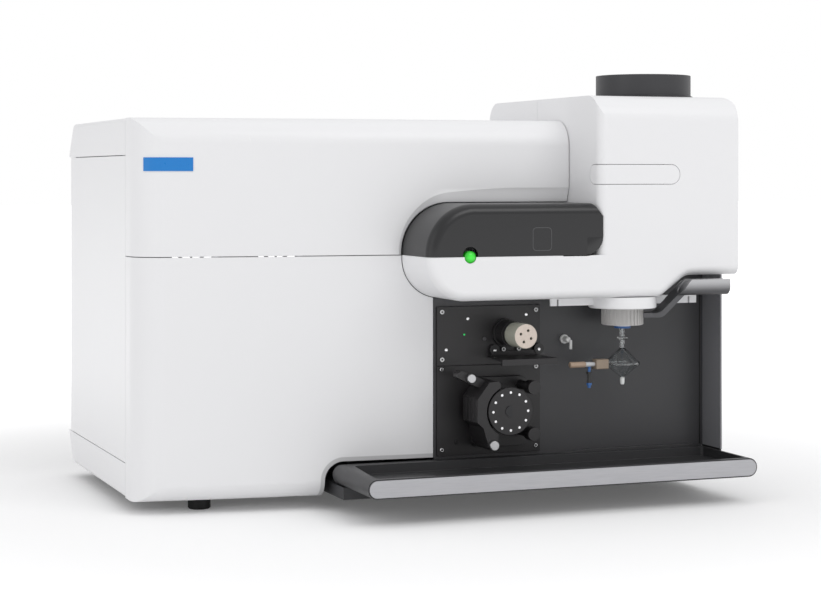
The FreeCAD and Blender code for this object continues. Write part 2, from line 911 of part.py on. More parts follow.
def make_inner_frame():
    """Welded frame of square tube: posts, a ring under the roof, and rails for the optics."""
    tube = size.frame_tube
    wall = size.cover_wall
    sheet = size.panel_sheet
    low = size.base_height + wall + sheet
    high = size.roof_height - wall
    left = wall
    right = size.case_width - wall
    front = size.split_depth + tube
    back = REAR_FACE - sheet
    body = block("inner_frame", "z", box_outline(left, right, front, back), high - tube, high)
    cut(body, "z", box_outline(left + tube, right - tube, front + tube, back - tube),
        high - tube - 1, high + 1)
    inside_left = left + sheet
    inside_right = right - sheet
    for x in (inside_left, inside_right - tube):
        for y in (front, back - tube):
            pad(body, "z", box_outline(x, x + tube, y, y + tube), low, high)
    rail = size.plate_split - tube / 2
    for y in (front, back - tube):
        pad(body, "z", box_outline(inside_left, inside_right, y, y + tube), rail, rail + tube)
    arm_end = size.panel_depth + sheet
    for x in (size.plate_right + 20, right - 60):
        pad(body, "z", box_outline(x, x + tube, arm_end, front + tube), rail, rail + tube)
    tab_front = size.split_depth - tube
    for x in (size.tower_left / 8, size.tower_left * 7 / 8):
        pad(body, "z", box_outline(x, x + tube, tab_front, front + tube), high - tube / 2, high)
    pad(body, "z", box_outline(right - tube, right, tab_front, front + tube),
        size.flap_height - 40, size.flap_height - 20)
    keep("inner_frame", body)


def make_rear_panel():
    """Rear panel with openings for two fans, the mains inlet, data ports and gas inlets."""
    sheet = size.panel_sheet
    body = block("rear_panel", "y",
                 box_outline(size.cover_wall, size.case_width - size.cover_wall,
                             size.pan_edge, size.strip_low + size.frame_tube),
                 REAR_FACE - sheet, REAR_FACE)
    for x in FAN_XS:
        cut(body, "y", (x, size.fan_z, size.fan_radius), REAR_FACE - sheet, REAR_FACE)
    inlet = size.inlet_plate / 2 - 3
    cut(body, "y", box_outline(size.inlet_x - inlet, size.inlet_x + inlet,
                               size.inlet_z - inlet, size.inlet_z + inlet),
        REAR_FACE - sheet, REAR_FACE)
    for x in PORT_XS:
        cut(body, "y", box_outline(x - size.port_width / 2, x + size.port_width / 2,
                                   size.inlet_z - 6, size.inlet_z + 6),
            REAR_FACE - sheet, REAR_FACE)
    for x in GAS_XS:
        cut(body, "y", (x, size.gas_z, size.gas_radius), REAR_FACE - sheet, REAR_FACE)
    keep("rear_panel", body)


# Rear services

REAR_FACE = size.case_rear - size.rear_lean - size.cover_wall
FAN_XS = [size.fan_x, size.fan_x + size.fan_pitch]
PORT_XS = [size.inlet_x - 160, size.inlet_x - 120]
GAS_XS = [size.inlet_x - 420, size.inlet_x - 370, size.inlet_x - 320]


def fan_guards():
    """Wire-form guard over each fan: rings on four spokes, with a flat mounting ring."""
    guards = []
    thick = size.guard_thickness
    for number, x in enumerate(FAN_XS, start=1):
        body = new_body("fan_guard_%d" % number, x, REAR_FACE, size.fan_z, "back")
        spin(body, disc_profile(size.fan_radius + 8, dim(0), thick, size.fan_radius - 2))
        for ring in range(1, 5):
            middle = size.fan_radius * ring / 5
            spin(body, disc_profile(middle + 1.5, dim(0), thick, middle - 1.5))
        reach = size.fan_radius
        pad(body, "z", box_outline(-reach, reach, -2, 2), 0, thick)
        pad(body, "z", box_outline(-2, 2, -reach, reach), 0, thick)
        guards.append(body)
    return guards


def make_fans():
    """Axial cooling fans: square housings on the panel and seven-bladed rotors."""
    housings = []
    half = size.fan_radius + 3
    depth = size.fan_depth
    sheet = size.panel_sheet
    for number, x in enumerate(FAN_XS, start=1):
        housing = new_body("fan_housing_%d" % number, x, REAR_FACE - sheet, size.fan_z, "front")
        pad(housing, "z", box_outline(-half, half, -half, half), 0, depth)
        cut(housing, "z", (0, 0, size.fan_radius), -1, depth + 1)
        pad(housing, "z", box_outline(-half, half, -4, 4), depth - 3, depth)
        pad(housing, "z", (0, 0, size.fan_hub_radius), depth - 3, depth)
        pad(housing, "z", (0, 0, size.fan_pin_radius), 4, depth)
        housings.append(housing)
        make_fan_rotor(number, x)
    keep("fan_frames", group("fan_frames", housings + fan_guards()))


def make_fan_rotor(number, x):
    """Rotor of one fan, turning on the pin of its housing."""
    body = new_body("fan_rotor_%d" % number, x, REAR_FACE - size.panel_sheet, size.fan_z, "front")
    low = dim(5)
    high = size.fan_depth - 4
    pad(body, "z", (0, 0, size.fan_hub_radius), low, high)
    tip = size.fan_radius - 2
    root = size.fan_hub_radius - 2
    blade = new_sketch(body, "x", root)
    draw(blade, [(-12, low + 2), (-9, low + 1), (12, high - 3), (9, high - 2)])
    feature = body.newObject("PartDesign::Pad", body.Name + "_blade")
    feature.Profile = blade
    feature.setExpression("Length", (tip - root).text)
    finish_feature(feature)
    pattern = body.newObject("PartDesign::PolarPattern", body.Name + "_blades")
    pattern.Originals = [feature]
    pattern.Axis = (blade, ["V_Axis"])
    pattern.Angle = 360.0
    pattern.Occurrences = 7
    body.Tip = pattern
    finish_feature(pattern)
    cut(body, "z", (0, 0, size.fan_pin_radius + size.running_clearance), low - 1, high + 1)
    keep("fan_rotor_%d" % number, body)


def make_mains_inlet():
    """Mains inlet module with a socket, and a rocker switch on trunnions."""
    half = size.inlet_plate / 2
    body = new_body("mains_inlet", size.inlet_x, REAR_FACE, size.inlet_z, "back")
    pad(body, "z", box_outline(-half, half, -half, half), 0, 3)
    round_edges(body, 4, lambda e: upright(e, 2))
    inner = half - 3 - size.button_clearance
    pad(body, "z", box_outline(-inner, inner, -inner, inner), -26, 0)
    cut(body, "z", box_outline(-14, 14, 2, 20), -18, 3)
    for x in (-7, 0, 7):
        pad(body, "z", box_outline(x - 1, x + 1, 8, 14), -18, -4)
    cut(body, "z", box_outline(-size.rocker_width / 2, size.rocker_width / 2, -19, -4), -12, 3)
    lift = 11.5
    sink = 2
    pin = size.trunnion_radius
    pin_end = size.rocker_width / 2 + size.trunnion_length
    cut(body, "x", (-lift, -sink, pin + size.running_clearance), -pin_end - size.fit_gap,
        pin_end + size.fit_gap)
    keep("mains_inlet", body)
    rocker = new_body("mains_rocker", size.inlet_x, REAR_FACE - sink, size.inlet_z + lift, "back")
    wide = size.rocker_width / 2 - size.fit_gap
    tilt = math.radians(size.rocker_tilt.number)
    corners = [(6.2, 5), (0, 3.2), (-6.2, 5), (-6.2, -3), (6.2, -3)]
    pad(rocker, "x", [(u * math.cos(tilt) - v * math.sin(tilt),
                       u * math.sin(tilt) + v * math.cos(tilt)) for u, v in corners],
        -wide, wide)
    pad(rocker, "x", (0, 0, pin), -pin_end, pin_end)
    keep("mains_rocker", rocker)


def make_ports():
    """Two data sockets behind the rear panel."""
    sockets = []
    half = size.port_width / 2 - 0.3
    for number, x in enumerate(PORT_XS, start=1):
        body = new_body("data_socket_%d" % number, x, REAR_FACE, size.inlet_z, "back")
        pad(body, "z", box_outline(-half, half, -5.7, 5.7), -20, 1)
        pad(body, "z", box_outline(-half - 3, half + 3, -8, 8), -size.panel_sheet - 1.5,
            -size.panel_sheet)
        cut(body, "z", box_outline(-half + 1.5, half - 1.5, -4.2, 4.2), -14, 1)
        sockets.append(body)
    keep("data_sockets", group("data_sockets", sockets))


def make_gas_inlets():
    """Three bulkhead gas unions: a hexagon, a spigot and a nut inside the panel."""
    unions = []
    sheet = size.panel_sheet
    for number, x in enumerate(GAS_XS, start=1):
        body = new_body("gas_union_%d" % number, x, REAR_FACE, size.gas_z, "back")
        tube = size.gas_radius - 1.5
        spin(body, [(0, -16), (size.gas_radius - 0.2, -16), (size.gas_radius - 0.2, 0),
                    (9, 0), (9, 9), (tube, 9), (tube, 26), (0, 26)])
        hexagon = [(11 * math.cos(math.radians(60 * k)), 11 * math.sin(math.radians(60 * k)))
                   for k in range(6)]
        pad(body, "z", hexagon, 0, 7)
        pad(body, "z", hexagon, -sheet - 6, -sheet)
        cut(body, "z", (0, 0, size.gas_bore), 6, 27)
        unions.append(body)
    keep("gas_inlets", group("gas_inlets", unions))


# Torch box

def torch_front_form(name, inset, back):
    """Front of the torch box and its fairing, as one rounded solid.

    One body has the outline seen from the front, one the upright round corner seen from
    above, and one the big round top edge seen from the side. The form is what all three
    share.
    """
    inset = dim(inset)
    left = size.fairing_left + inset
    tower = size.tower_left + inset
    right = size.case_width - inset
    low = size.fairing_bottom + inset
    step = size.tower_bottom + inset
    high = size.tower_top - inset
    ledge = size.seam_height - inset
    front = inset
    elevation = new_body(name + "_elevation")
    pad(elevation, "y", [(left, low), (size.step_start, low), (size.step_end, step),
                         (right, step), (right, high), (tower, high), (tower, ledge),
                         (left, ledge)], front, back)
    round_edges(elevation, size.fairing_radius - inset,
                lambda e: upright(e, 1) and centre_near(e, x=left, z=low))
    round_edges(elevation, size.step_radius,
                lambda e: upright(e, 1) and (centre_near(e, x=size.step_start, z=low)
                                             or centre_near(e, x=size.step_end, z=step)))
    round_edges(elevation, size.tower_side_radius - inset,
                lambda e: upright(e, 1) and centre_near(e, x=right, z=high))

    def foot_rim(edge):
        middle = edge.valueAt((edge.FirstParameter + edge.LastParameter) / 2)
        return (flat_in(edge, 1, front) and middle.z < float(ledge) - 0.1
                and middle.x < float(right) - 0.1)

    round_edges(elevation, size.front_edge_radius - inset, foot_rim)
    cut(elevation, "y", band_end_outline(size.seam_gap + inset), front - 1, back)
    plan = new_body(name + "_plan")
    pad(plan, "z", box_outline(tower, right, front, back), low, high)
    round_edges(plan, size.front_edge_radius - inset,
                lambda e: upright(e, 2) and centre_near(e, x=tower, y=front))
    pad(plan, "z", box_outline(left, right, front, back), low, ledge)
    profile = block(name + "_profile", "x", box_outline(front, back, low, high), left, right)
    round_edges(profile, size.tower_front_radius - inset,
                lambda e: upright(e, 0) and centre_near(e, y=front, z=high))
    return boolean("Common", name + "_form", boolean("Common", name + "_upright", elevation, plan),
                   profile)


def make_torch_front_cover():
    """Torch box front with the fairing that runs left under the black band."""
    wall = size.cover_wall
    outer = torch_front_form("torch_front_outer", 0, size.split_depth)
    inner = torch_front_form("torch_front_inner", wall, size.split_depth + 5)
    shell = boolean("Cut", "torch_front_shell", outer, inner)
    behind = new_body("torch_front_behind")
    gap = size.seam_gap
    left = size.fairing_left - 10
    start = front_at(left) + gap
    pad(behind, "z", [(left, start), Bow(size.sweep_run, size.front_flat + gap, SWEEP_RADIUS, -1),
                      (size.tower_left, size.front_flat + gap),
                      (size.tower_left, size.split_depth + 10), (left, size.split_depth + 10)],
        size.fairing_bottom - 5, size.seam_height + 5)
    shell = boolean("Cut", "torch_front_trimmed", shell, behind)
    tools = [
        turned("collar_hole", disc_profile(size.collar_radius + gap, dim(-40), dim(60)),
               size.collar_x, size.collar_y, size.tower_top),
        turned("torch_hole", disc_profile(size.mount_radius + 4, dim(-20), dim(60)),
               size.torch_x, size.torch_y, size.fairing_bottom),
        flap_cutter("flap_recess", size.flap_gap),
        turned("button_hole", disc_profile(size.button_radius + size.button_clearance,
                                           dim(-30), dim(10)),
               size.button_x, 0, size.seam_height, "front"),
        switch_pocket("fairing_pocket"),
    ]
    edge = size.flap_radius
    tools += hinge_pins("cover_bore", size.hinge_pin_radius + size.running_clearance,
                        dim(0), edge + 4 + size.fit_gap)
    for number, tool in enumerate(tools, start=1):
        shell = boolean("Cut", "torch_front_cut_%d" % number, shell, tool)
    keep("torch_front_cover", shell)


def flap_cutter(name, grow):
    """Oblong prism that wraps the torch box's front left corner."""
    grow = dim(grow)
    radius = size.flap_radius + grow
    height = size.flap_height
    body = new_body(name)
    outside = dim(-5)
    deep = size.front_edge_radius + 4
    pad(body, "y", box_outline(size.tower_left - 5, size.flap_right + grow - radius,
                               height - radius, height + radius), outside, deep)
    pad(body, "y", (size.flap_right + grow - radius, height, radius), outside, deep)
    left_wrap = size.flap_wrap + grow - radius
    pad(body, "x", (left_wrap, height, radius), size.tower_left - 5, size.tower_left + 12)
    if float(left_wrap) > float(deep):
        pad(body, "x", box_outline(deep - 1, left_wrap, height - radius, height + radius),
            size.tower_left - 5, size.tower_left + 12)
    return body


def make_window_flap():
    """Wrap-round flap over the viewing window, hinged at its right end."""
    outer = torch_front_form("flap_skin_outer", 0, size.split_depth)
    inner = torch_front_form("flap_skin_inner", size.flap_thickness, size.split_depth + 5)
    skin = boolean("Cut", "flap_skin", outer, inner)
    form = boolean("Common", "flap_form", skin, flap_cutter("flap_outline", 0))
    edge = size.flap_radius
    for number, pin in enumerate(hinge_pins("flap_bore", size.hinge_pin_radius, edge - 4,
                                            edge + 2), start=1):
        form = boolean("Cut", "flap_bored_%d" % number, form, pin)
    keep("window_flap", form)


def hinge_pins(name, radius, inner, outer):
    """The flap's two upright hinge pins, or the bores for them, above and below its edges."""
    x = size.flap_right - size.flap_radius
    y = size.flap_thickness / 2
    return [turned("%s_%d" % (name, number), disc_profile(radius, low, high),
                   x, y, size.flap_height)
            for number, (low, high) in enumerate(((inner, outer), (-outer, -inner)), start=1)]


def make_flap_hinge():
    """Hinge pins that stand out of the flap's top and bottom edges into the cover."""
    edge = size.flap_radius
    pins = hinge_pins("flap_hinge_pin", size.hinge_pin_radius, edge - 4, edge + 4)
    keep("flap_hinge_pins", group("flap_hinge_pins", pins))


def make_viewing_window():
    """Dark glass pane behind the window flap."""
    back = size.flap_thickness + size.fit_gap
    tall = size.flap_radius + 8
    right = size.flap_right - size.flap_radius * 2 + 4
    keep("viewing_window", block("viewing_window", "y",
                                 box_outline(size.tower_left + 14, right,
                                             size.flap_height - tall, size.flap_height + tall),
                                 back, back + 4))


def make_torch_rear_cover():
    """Rear hump of the torch box on the roof."""
    wall = size.cover_wall

    def hump(name, inset):
        inset = dim(inset)
        left = size.tower_left + inset
        right = size.case_width - inset
        front = size.split_depth + size.seam_gap - inset * 2
        rear = size.tower_rear - inset
        low = size.roof_height - inset
        high = size.tower_top - inset
        elevation = block(name + "_elevation", "y", box_outline(left, right, low, high),
                          front, rear)
        round_edges(elevation, size.tower_side_radius - inset,
                    lambda e: upright(e, 1) and centre_near(e, x=right, z=high))
        profile = block(name + "_profile", "x", box_outline(front, rear, low, high), left, right)
        round_edges(profile, size.tower_rear_radius - inset,
                    lambda e: upright(e, 0) and centre_near(e, y=rear, z=high))
        return boolean("Common", name + "_form", elevation, profile)

    keep("torch_rear_cover", boolean("Cut", "torch_rear_cover", hump("hump_outer", 0),
                                     hump("hump_inner", wall)))


def band_form(name, inset):
    """The band's rounded bar, cut off level at the seam and shaped at its right end."""
    inset = dim(inset)
    body = new_body(name)
    low = size.seam_height + size.fit_gap + inset
    deep = low - size.band_radius
    back = size.front_flat + size.front_sweep
    far = size.tower_left + 60
    pad(body, "y", band_outline(-inset, far, deep), inset, back)
    round_edges(body, size.band_edge_radius - inset,
                lambda e: flat_in(e, 1, inset) and not flat_in(e, 2, deep)
                and e.CenterOfMass.x < float(far) - 1)
    end = size.band_right - inset
    radius = size.band_end_radius - inset
    high = size.band_top - inset
    cut(body, "y", [(size.fairing_left - 5, deep - 5), (far + 5, deep - 5), (far + 5, high + 5),
                    (end - size.band_end_run, high + 5), (end - size.band_end_run, high),
                    (end, high - size.band_end_drop), (end, low + radius),
                    Bow(end - radius, low, radius, -1), (size.fairing_left - 5, low)],
        inset - 5, back + 5)
    return body


def make_indicator_band():
    """Black band between the upper cover and the fairing, with a recess for the button."""
    wall = size.cover_wall
    shell = boolean("Cut", "band_shell", band_form("band_outer", 0), band_form("band_inner", wall))
    left = size.fairing_left - 10
    far = size.tower_left + 10
    gap = size.fit_gap
    behind = block("band_behind", "z",
                   [(left, front_at(left) - gap),
                    Bow(size.sweep_run, size.front_flat - gap, SWEEP_RADIUS, -1),
                    (far, size.front_flat - gap), (far, size.split_depth),
                    (left, size.split_depth)],
                   size.seam_height - 5, size.band_top + 5)
    lift = size.button_recess_lift
    recess = turned("button_recess", disc_profile(size.button_radius + lift, dim(-30), dim(10)),
                    size.button_x, 0, size.seam_height + lift, "front")
    for number, tool in enumerate((behind, recess, switch_pocket("band_pocket")), start=1):
        shell = boolean("Cut", "band_cut_%d" % number, shell, tool)
    keep("indicator_band", shell)


def switch_pocket(name):
    """Room for the switch behind the power button."""
    half = size.switch_half + size.fit_gap
    return block(name, "y", box_outline(size.button_x - half, size.button_x + half,
                                        size.seam_height - half, size.seam_height + half),
                 size.switch_front - 2, size.switch_back)


def make_power_button():
    """Green lit push button with a domed face, and the switch that carries its stem."""
    radius = size.button_radius
    stem = size.button_stem_radius
    stem_end = size.switch_front + size.button_stem_reach
    button = turned("power_button",
                    [(0, -stem_end), (stem, -stem_end), (stem, -8),
                     (radius, -8), (radius, -1), Bow(0, radius / 2 - 1, radius * 1.25, -1)],
                    size.button_x, 0, size.seam_height, "front")
    keep("power_button", button)
    half = size.switch_half
    switch = block("power_switch", "y",
                   box_outline(size.button_x - half, size.button_x + half,
                               size.seam_height - half, size.seam_height + half),
                   size.switch_front, size.switch_back)
    cut(switch, "y", (size.button_x, size.seam_height, stem + size.running_clearance),
        size.switch_front, stem_end + size.button_travel + size.fit_gap)
    keep("power_switch", switch)


def make_exhaust_collar():
    """Exhaust collar for a duct, with a lip that seats on the torch box."""
    radius = size.collar_radius
    wall = size.collar_wall
    top = size.tower_top
    profile = [(radius - wall, top - 18), (radius, top - 18), (radius, top),
               (radius + 3.5, top), (radius + 3.5, top + 3), (radius, top + 4.5),
               (radius, size.collar_top), (radius - wall, size.collar_top)]
    keep("exhaust_collar", turned("exhaust_collar", profile, size.collar_x, size.collar_y, 0))


# Sample compartment

def make_compartment_panel():
    """Dark back panel of the sample compartment, shaped to the torch box above it."""
    gap = size.fit_gap
    left = size.cover_right + gap
    right = size.case_width - size.side_wall - gap
    low = size.tray_high + gap
    high = size.bay_top - gap
    step = size.tower_bottom - gap
    body = block("compartment_panel", "y",
                 [(left, low), (right, low), (right, step), (size.step_end + 5, step),
                  (size.step_start + 4, high), (left, high)],
                 size.panel_depth, size.panel_depth + size.panel_sheet)
    cut(body, "y", (size.pump_x, size.pump_z, size.motor_radius + 1), size.panel_depth,
        size.panel_depth + size.panel_sheet)
    keep("compartment_panel", body)


def make_compartment_wall():
    """Right wall of the sample compartment, down to the base behind the tray."""
    right = size.case_width
    step = size.panel_depth + 6
    level = size.tray_high + size.fit_gap
    back = size.split_depth
    high = size.tower_bottom - size.fit_gap
    body = block("compartment_wall", "x",
                 [(size.side_wall_front, level), (step, level), (step, size.base_height),
                  (back, size.base_height), (back, high), (size.side_wall_front, high)],
                 right - size.side_wall, right)
    keep("compartment_wall", body)


def tray_form(name, inset, front, back):
    """A slab with full round ends, across the instrument."""
    low = size.tray_low + inset
    high = size.tray_high - inset
    return block(name, "y", slot_outline(size.tray_left + inset, size.tray_right - inset,
                                         (low + high) / 2, (high - low) / 2), front, back)


def make_front_tray():
    """Drip tray with a hollow top, a low upstand behind and a set-in trim strip in front."""
    proud = size.strip_proud
    front = size.tray_front + proud
    back = size.panel_depth + size.panel_sheet
    tray = tray_form("front_tray", dim(0), front, back)
    rim = size.tray_rim
    low = size.tray_high - size.tray_hollow
    right = size.tray_right - size.tray_end_rim
    near = size.tray_front + size.tray_front_rim
    far = size.panel_depth - rim
    left = size.tray_left + size.tray_left_rim
    cut(tray, "z", [(left, near), (right, near), (right, far),
                    (left + size.tray_left_slant, far)], low, size.tray_high + 1)
    round_edges(tray, rim / 3, lambda e: upright(e, 2))
    high = size.tray_high
    crest = high + size.upstand_height
    start = size.plate_right + 30
    pad(tray, "y", [(start, high - 1), (right, high - 1), (right, high), (right - 10, crest),
                    (start + 50, crest), (start, high)],
        size.panel_depth - size.upstand_thickness - size.fit_gap,
        size.panel_depth - size.fit_gap)
    inset = size.strip_inset - size.fit_gap
    pocket = tray_form("trim_pocket", inset, front - 5, size.tray_front + size.strip_thickness)
    keep("front_tray", boolean("Cut", "front_tray", tray, pocket))
    trim = tray_form("tray_trim", size.strip_inset, size.tray_front,
                     size.tray_front + size.strip_thickness)
    keep("tray_trim", trim)


# Pump and valve plates

def make_plates():
    """Black plates that carry the switching valve above and the pump below."""
    split = size.fit_gap
    back = size.panel_depth
    front = back - size.plate_thickness
    upper = block("valve_plate", "y",
                  box_outline(size.plate_left, size.plate_right, size.plate_split + split,
                              size.plate_top), front, back)
    keep("valve_plate", upper)
    lower = block("pump_plate", "y",
                  box_outline(size.plate_left, size.plate_right, size.plate_bottom,
                              size.plate_split - split), front, back)
    cut(lower, "y", (size.pump_x, size.pump_z, size.rotor_shaft_radius + size.running_clearance),
        front, back)
    keep("pump_plate", lower)


def make_plate_screws():
    """Ring-headed screws in the corners of both plates, but for the one under the bracket."""
    inset = size.screw_inset
    xs = (size.plate_left + inset, size.plate_right - inset)
    zs = (size.plate_top - inset, size.plate_split + 10, size.plate_split - 5,
          size.plate_bottom + 9)
    front = size.panel_depth - size.plate_thickness
    head = size.screw_radius
    profile = [(0, 0), (head, 0), (head, 1.4), (head - 0.6, 2), (head - 1.4, 2),
               (head - 1.4, 1.2), (0, 1.2)]
    screws = [turned("plate_screw_%d" % (row * 2 + side + 1), profile, x, front, z, "front")
              for row, z in enumerate(zs) for side, x in enumerate(xs) if (row, side) != (1, 1)]
    keep("plate_screws", group("plate_screws", screws))


# Peristaltic pump

# Distance of the shaft's flat from its middle, as a share of the shaft's radius
SHAFT_FLAT = 0.28


def make_pump_head():
    """Pump head block on the pump plate, with two posts for the ends of the tubes."""
    front = size.panel_depth - size.plate_thickness
    body = block("pump_head", "y", box_outline(size.pump_x - 38, size.pump_x + 56,
                                               size.pump_z - 60, size.pump_z + 46),
                 front - size.head_thickness, front)
    round_edges(body, 14, lambda e: upright(e, 1))
    cut(body, "y", (size.pump_x, size.pump_z, size.rotor_shaft_radius + size.running_clearance),
        front - size.head_thickness, front)
    post_x = size.pump_x + size.post_offset
    for rise in (33, -37):
        pad(body, "y", (post_x, size.pump_z + rise, 7), size.pump_front + 16,
            front - size.head_thickness)
        pad(body, "y", (post_x, size.pump_z + rise, size.post_radius), size.pump_front + 6,
            size.pump_front + 26)
    keep("pump_head", body)


def make_pump_rotor():
    """Rotor of two discs on a hub, with bores for the roller pins and a D-shaped bore."""
    front = size.pump_front
    back = front + size.rotor_length
    body = new_body("pump_rotor", size.pump_x, back, size.pump_z, "front")
    length = size.rotor_length
    disc = size.rotor_disc
    spin(body, [(0, 0), (size.rotor_radius, 0), (size.rotor_radius, disc), (14, disc),
                (14, length - disc), (size.rotor_radius, length - disc),
                (size.rotor_radius, length - 1), (size.rotor_radius - 1, length), (0, length)])
    hole = cut(body, "z", (size.roller_circle, 0, size.roller_pin_radius), -1, length + 1)
    pattern = body.newObject("PartDesign::PolarPattern", "roller_bores")
    pattern.Originals = [hole]
    pattern.Axis = (hole.Profile[0], ["N_Axis"])
    pattern.Angle = 360.0
    pattern.setExpression("Occurrences", size.roller_count.text)
    body.Tip = pattern
    finish_feature(pattern)
    shaft = size.rotor_shaft_radius
    flat_side = shaft * SHAFT_FLAT
    reach = shaft * math.sqrt(1 - SHAFT_FLAT ** 2)
    cut(body, "z", [Bow(flat_side, -reach, shaft, -1), (flat_side, reach),
                    Bow(-shaft, 0, shaft, -1)], -1, length + 1)
    keep("pump_rotor", body)


def make_pump_shaft():
    """Motor shaft with a flat, which drives the rotor."""
    front = size.pump_front - 1
    back = size.panel_depth + size.panel_sheet + size.shaft_depth - size.fit_gap
    body = new_body("pump_shaft", size.pump_x, back, size.pump_z, "front")
    length = back - front
    shaft = size.rotor_shaft_radius
    pad(body, "z", (0, 0, shaft), 0, length)
    cut(body, "z", box_outline(shaft * SHAFT_FLAT, shaft + 1, -shaft - 1, shaft + 1),
        back - size.pump_front - size.rotor_length, length + 1)
    keep("pump_shaft", body)


def make_pump_rollers():
    """Twelve rollers on pins between the rotor's discs."""
    count = int(round(size.roller_count.number))
    length = size.rotor_length
    disc = size.rotor_disc
    pin = size.roller_pin_radius
    gap = size.fit_gap
    profile = [(0, 0), (pin, 0), (pin, disc + gap), (size.roller_radius, disc + gap),
               (size.roller_radius, length - disc - gap), (pin, length - disc - gap),
               (pin, length + 0.4), (0, length + 0.4)]
    rollers = []
    for number in range(count):
        turn = 2 * math.pi * number / count
        rollers.append(turned("pump_roller_%d" % (number + 1), profile,
                              size.pump_x + size.roller_circle * math.cos(turn),
                              size.pump_front + length,
                              size.pump_z + size.roller_circle * math.sin(turn), "front"))
    keep("pump_rollers", group("pump_rollers", rollers))


# Fall of the shoe's shoulder, on which the tension block sits, and the reach of its flank
SHOULDER_DROP = 26
SHOE_FLANK = size.shoe_inner + size.shoe_width * 0.75


def make_pressure_shoe():
    """Pressure shoe that hugs the rotor's left side, pivoted at its foot."""
    front = size.pump_front
    back = front + size.rotor_length
    inner = size.shoe_inner
    x = size.shoe_pivot_x - size.pump_x
    z = size.shoe_pivot_z - size.pump_z
    top = size.shoe_top - size.pump_z
    far = -SHOE_FLANK
    tip = x + 12
    foot = x + 9
    body = new_body("pressure_shoe", size.pump_x, 0, size.pump_z)
    pad(body, "y", [(x - 8, z), (x - 16, z + 26), (far, z + 34), (far, top - SHOULDER_DROP),
                    (x - 6, top - 1), (x + 8, top), (tip, top - 3), (tip, chord(inner, tip)),
                    Bow(foot, -chord(inner, foot), inner, -1), (x + 8, z)], front, back)
    pad(body, "y", (x, z, 8), front, back)
    cut(body, "y", (x, z, size.shoe_pin_radius + size.running_clearance), front - 1, back + 1)
    groove = 1.2
    pitch = size.rotor_length / 4
    for number in range(1, 4):
        start = front + pitch * number
        cut(body, "z", box_outline(far - 1, far + groove * 1.5, start, start + groove), z, top)
    keep("pressure_shoe", body)


def make_shoe_pivot():
    """Pivot pin of the shoe with a bright knurled head."""
    base = size.panel_depth - size.plate_thickness - size.head_thickness
    length = base - size.pump_front + 0.4
    pin = size.shoe_pin_radius
    head = size.knob_radius
    profile = [(0, 0), (pin, 0), (pin, length), (head, length), (head, length + 5),
               (head - 1, length + 6), (0, length + 6)]
    keep("shoe_pivot_knob", turned("shoe_pivot_knob", profile, size.shoe_pivot_x, base,
                                   size.shoe_pivot_z, "front"))


def make_tension_block():
    """Pressure adjuster on the shoe's top: a tapered block with a thumb screw."""
    front = size.lever_front
    back = front + size.lever_depth
    right = size.shoe_pivot_x - 6
    left = right - size.lever_length
    slope = math.tan(math.radians(15.0))
    body = new_body("tension_block", right, 0, size.shoe_top)
    run = right - left
    shoulder = SHOE_FLANK - (size.pump_x - right)
    drop = SHOULDER_DROP - 1
    pad(body, "y", [(0, -1), (0, 0), (-8, 4), (-run + 6, 4 + run * slope), (-run, run * slope),
                    (-run, run * slope - 6), (-run + 12, run * slope / 2 - 6),
                    (-shoulder * 0.4, -1 - drop * 0.4)], front, back)
    thumb_x = -size.thumb_offset
    thumb_z = size.thumb_offset * slope - 2
    cut(body, "y", (thumb_x, thumb_z, 3 + size.running_clearance), front - 1, back - 2)
    keep("tension_block", body)
    screw = turned("thumb_screw",
                   [(0, 4), (3, 4), (3, size.lever_depth + 0.3), (6.8, size.lever_depth + 0.3),
                    (6.8, size.lever_depth + 7), (6, size.lever_depth + 8),
                    (0, size.lever_depth + 8)],
                   right + thumb_x, back, size.shoe_top + thumb_z, "front")
    keep("thumb_screw", screw)


def make_pump_motor():
    """Stepper motor behind the compartment panel."""
    start = size.panel_depth + size.panel_sheet
    body = new_body("pump_motor", size.pump_x, start, size.pump_z, "back")
    radius = size.motor_radius
    half = radius * 0.82
    spin(body, disc_profile(radius, -size.panel_sheet, dim(0)))
    pad(body, "z", box_outline(-half - 8, half + 8, -half - 8, half + 8), 0, size.motor_length)
    bevel_edges(body, 6, lambda e: upright(e, 2) and e.Length > 30)
    cut(body, "z", (0, 0, size.rotor_shaft_radius + size.running_clearance),
        -size.panel_sheet - 1, size.shaft_depth)
    keep("pump_motor", body)


# Switching valve

def make_valve():
    """Switching valve: a black actuator on the plate and a pale ported head."""
    plate = size.panel_depth - size.plate_thickness
    seat = size.valve_front + size.valve_head_length
    length = plate - seat
    radius = size.valve_body_radius
    drive = turned("valve_actuator",
                   [(0, 0), (radius + 2, 0), (radius + 2, 6), (radius, 6), (radius, length - 8),
                    (radius - 2, length - 8), (radius - 2, length), (0, length)],
                   size.valve_x, plate, size.valve_z, "front")
    keep("valve_actuator", drive)
    head = new_body("valve_head", size.valve_x, seat, size.valve_z, "front")
    tall = size.valve_head_length
    radius = size.valve_radius
    spin(head, [(0, 0), (radius, 0), (radius, tall - 1), (radius - 1, tall), (0, tall)])
    turn = math.radians(size.port_turn.number)
    port = cut(head, "z", (size.port_circle * math.cos(turn), size.port_circle * math.sin(turn),
                           size.port_radius), tall - 9, tall + 1)
    pattern = head.newObject("PartDesign::PolarPattern", "valve_ports")
    pattern.Originals = [port]
    pattern.Axis = (port.Profile[0], ["N_Axis"])
    pattern.Angle = 360.0
    pattern.Occurrences = 4
    head.Tip = pattern
    finish_feature(pattern)
    keep("valve_head", head)


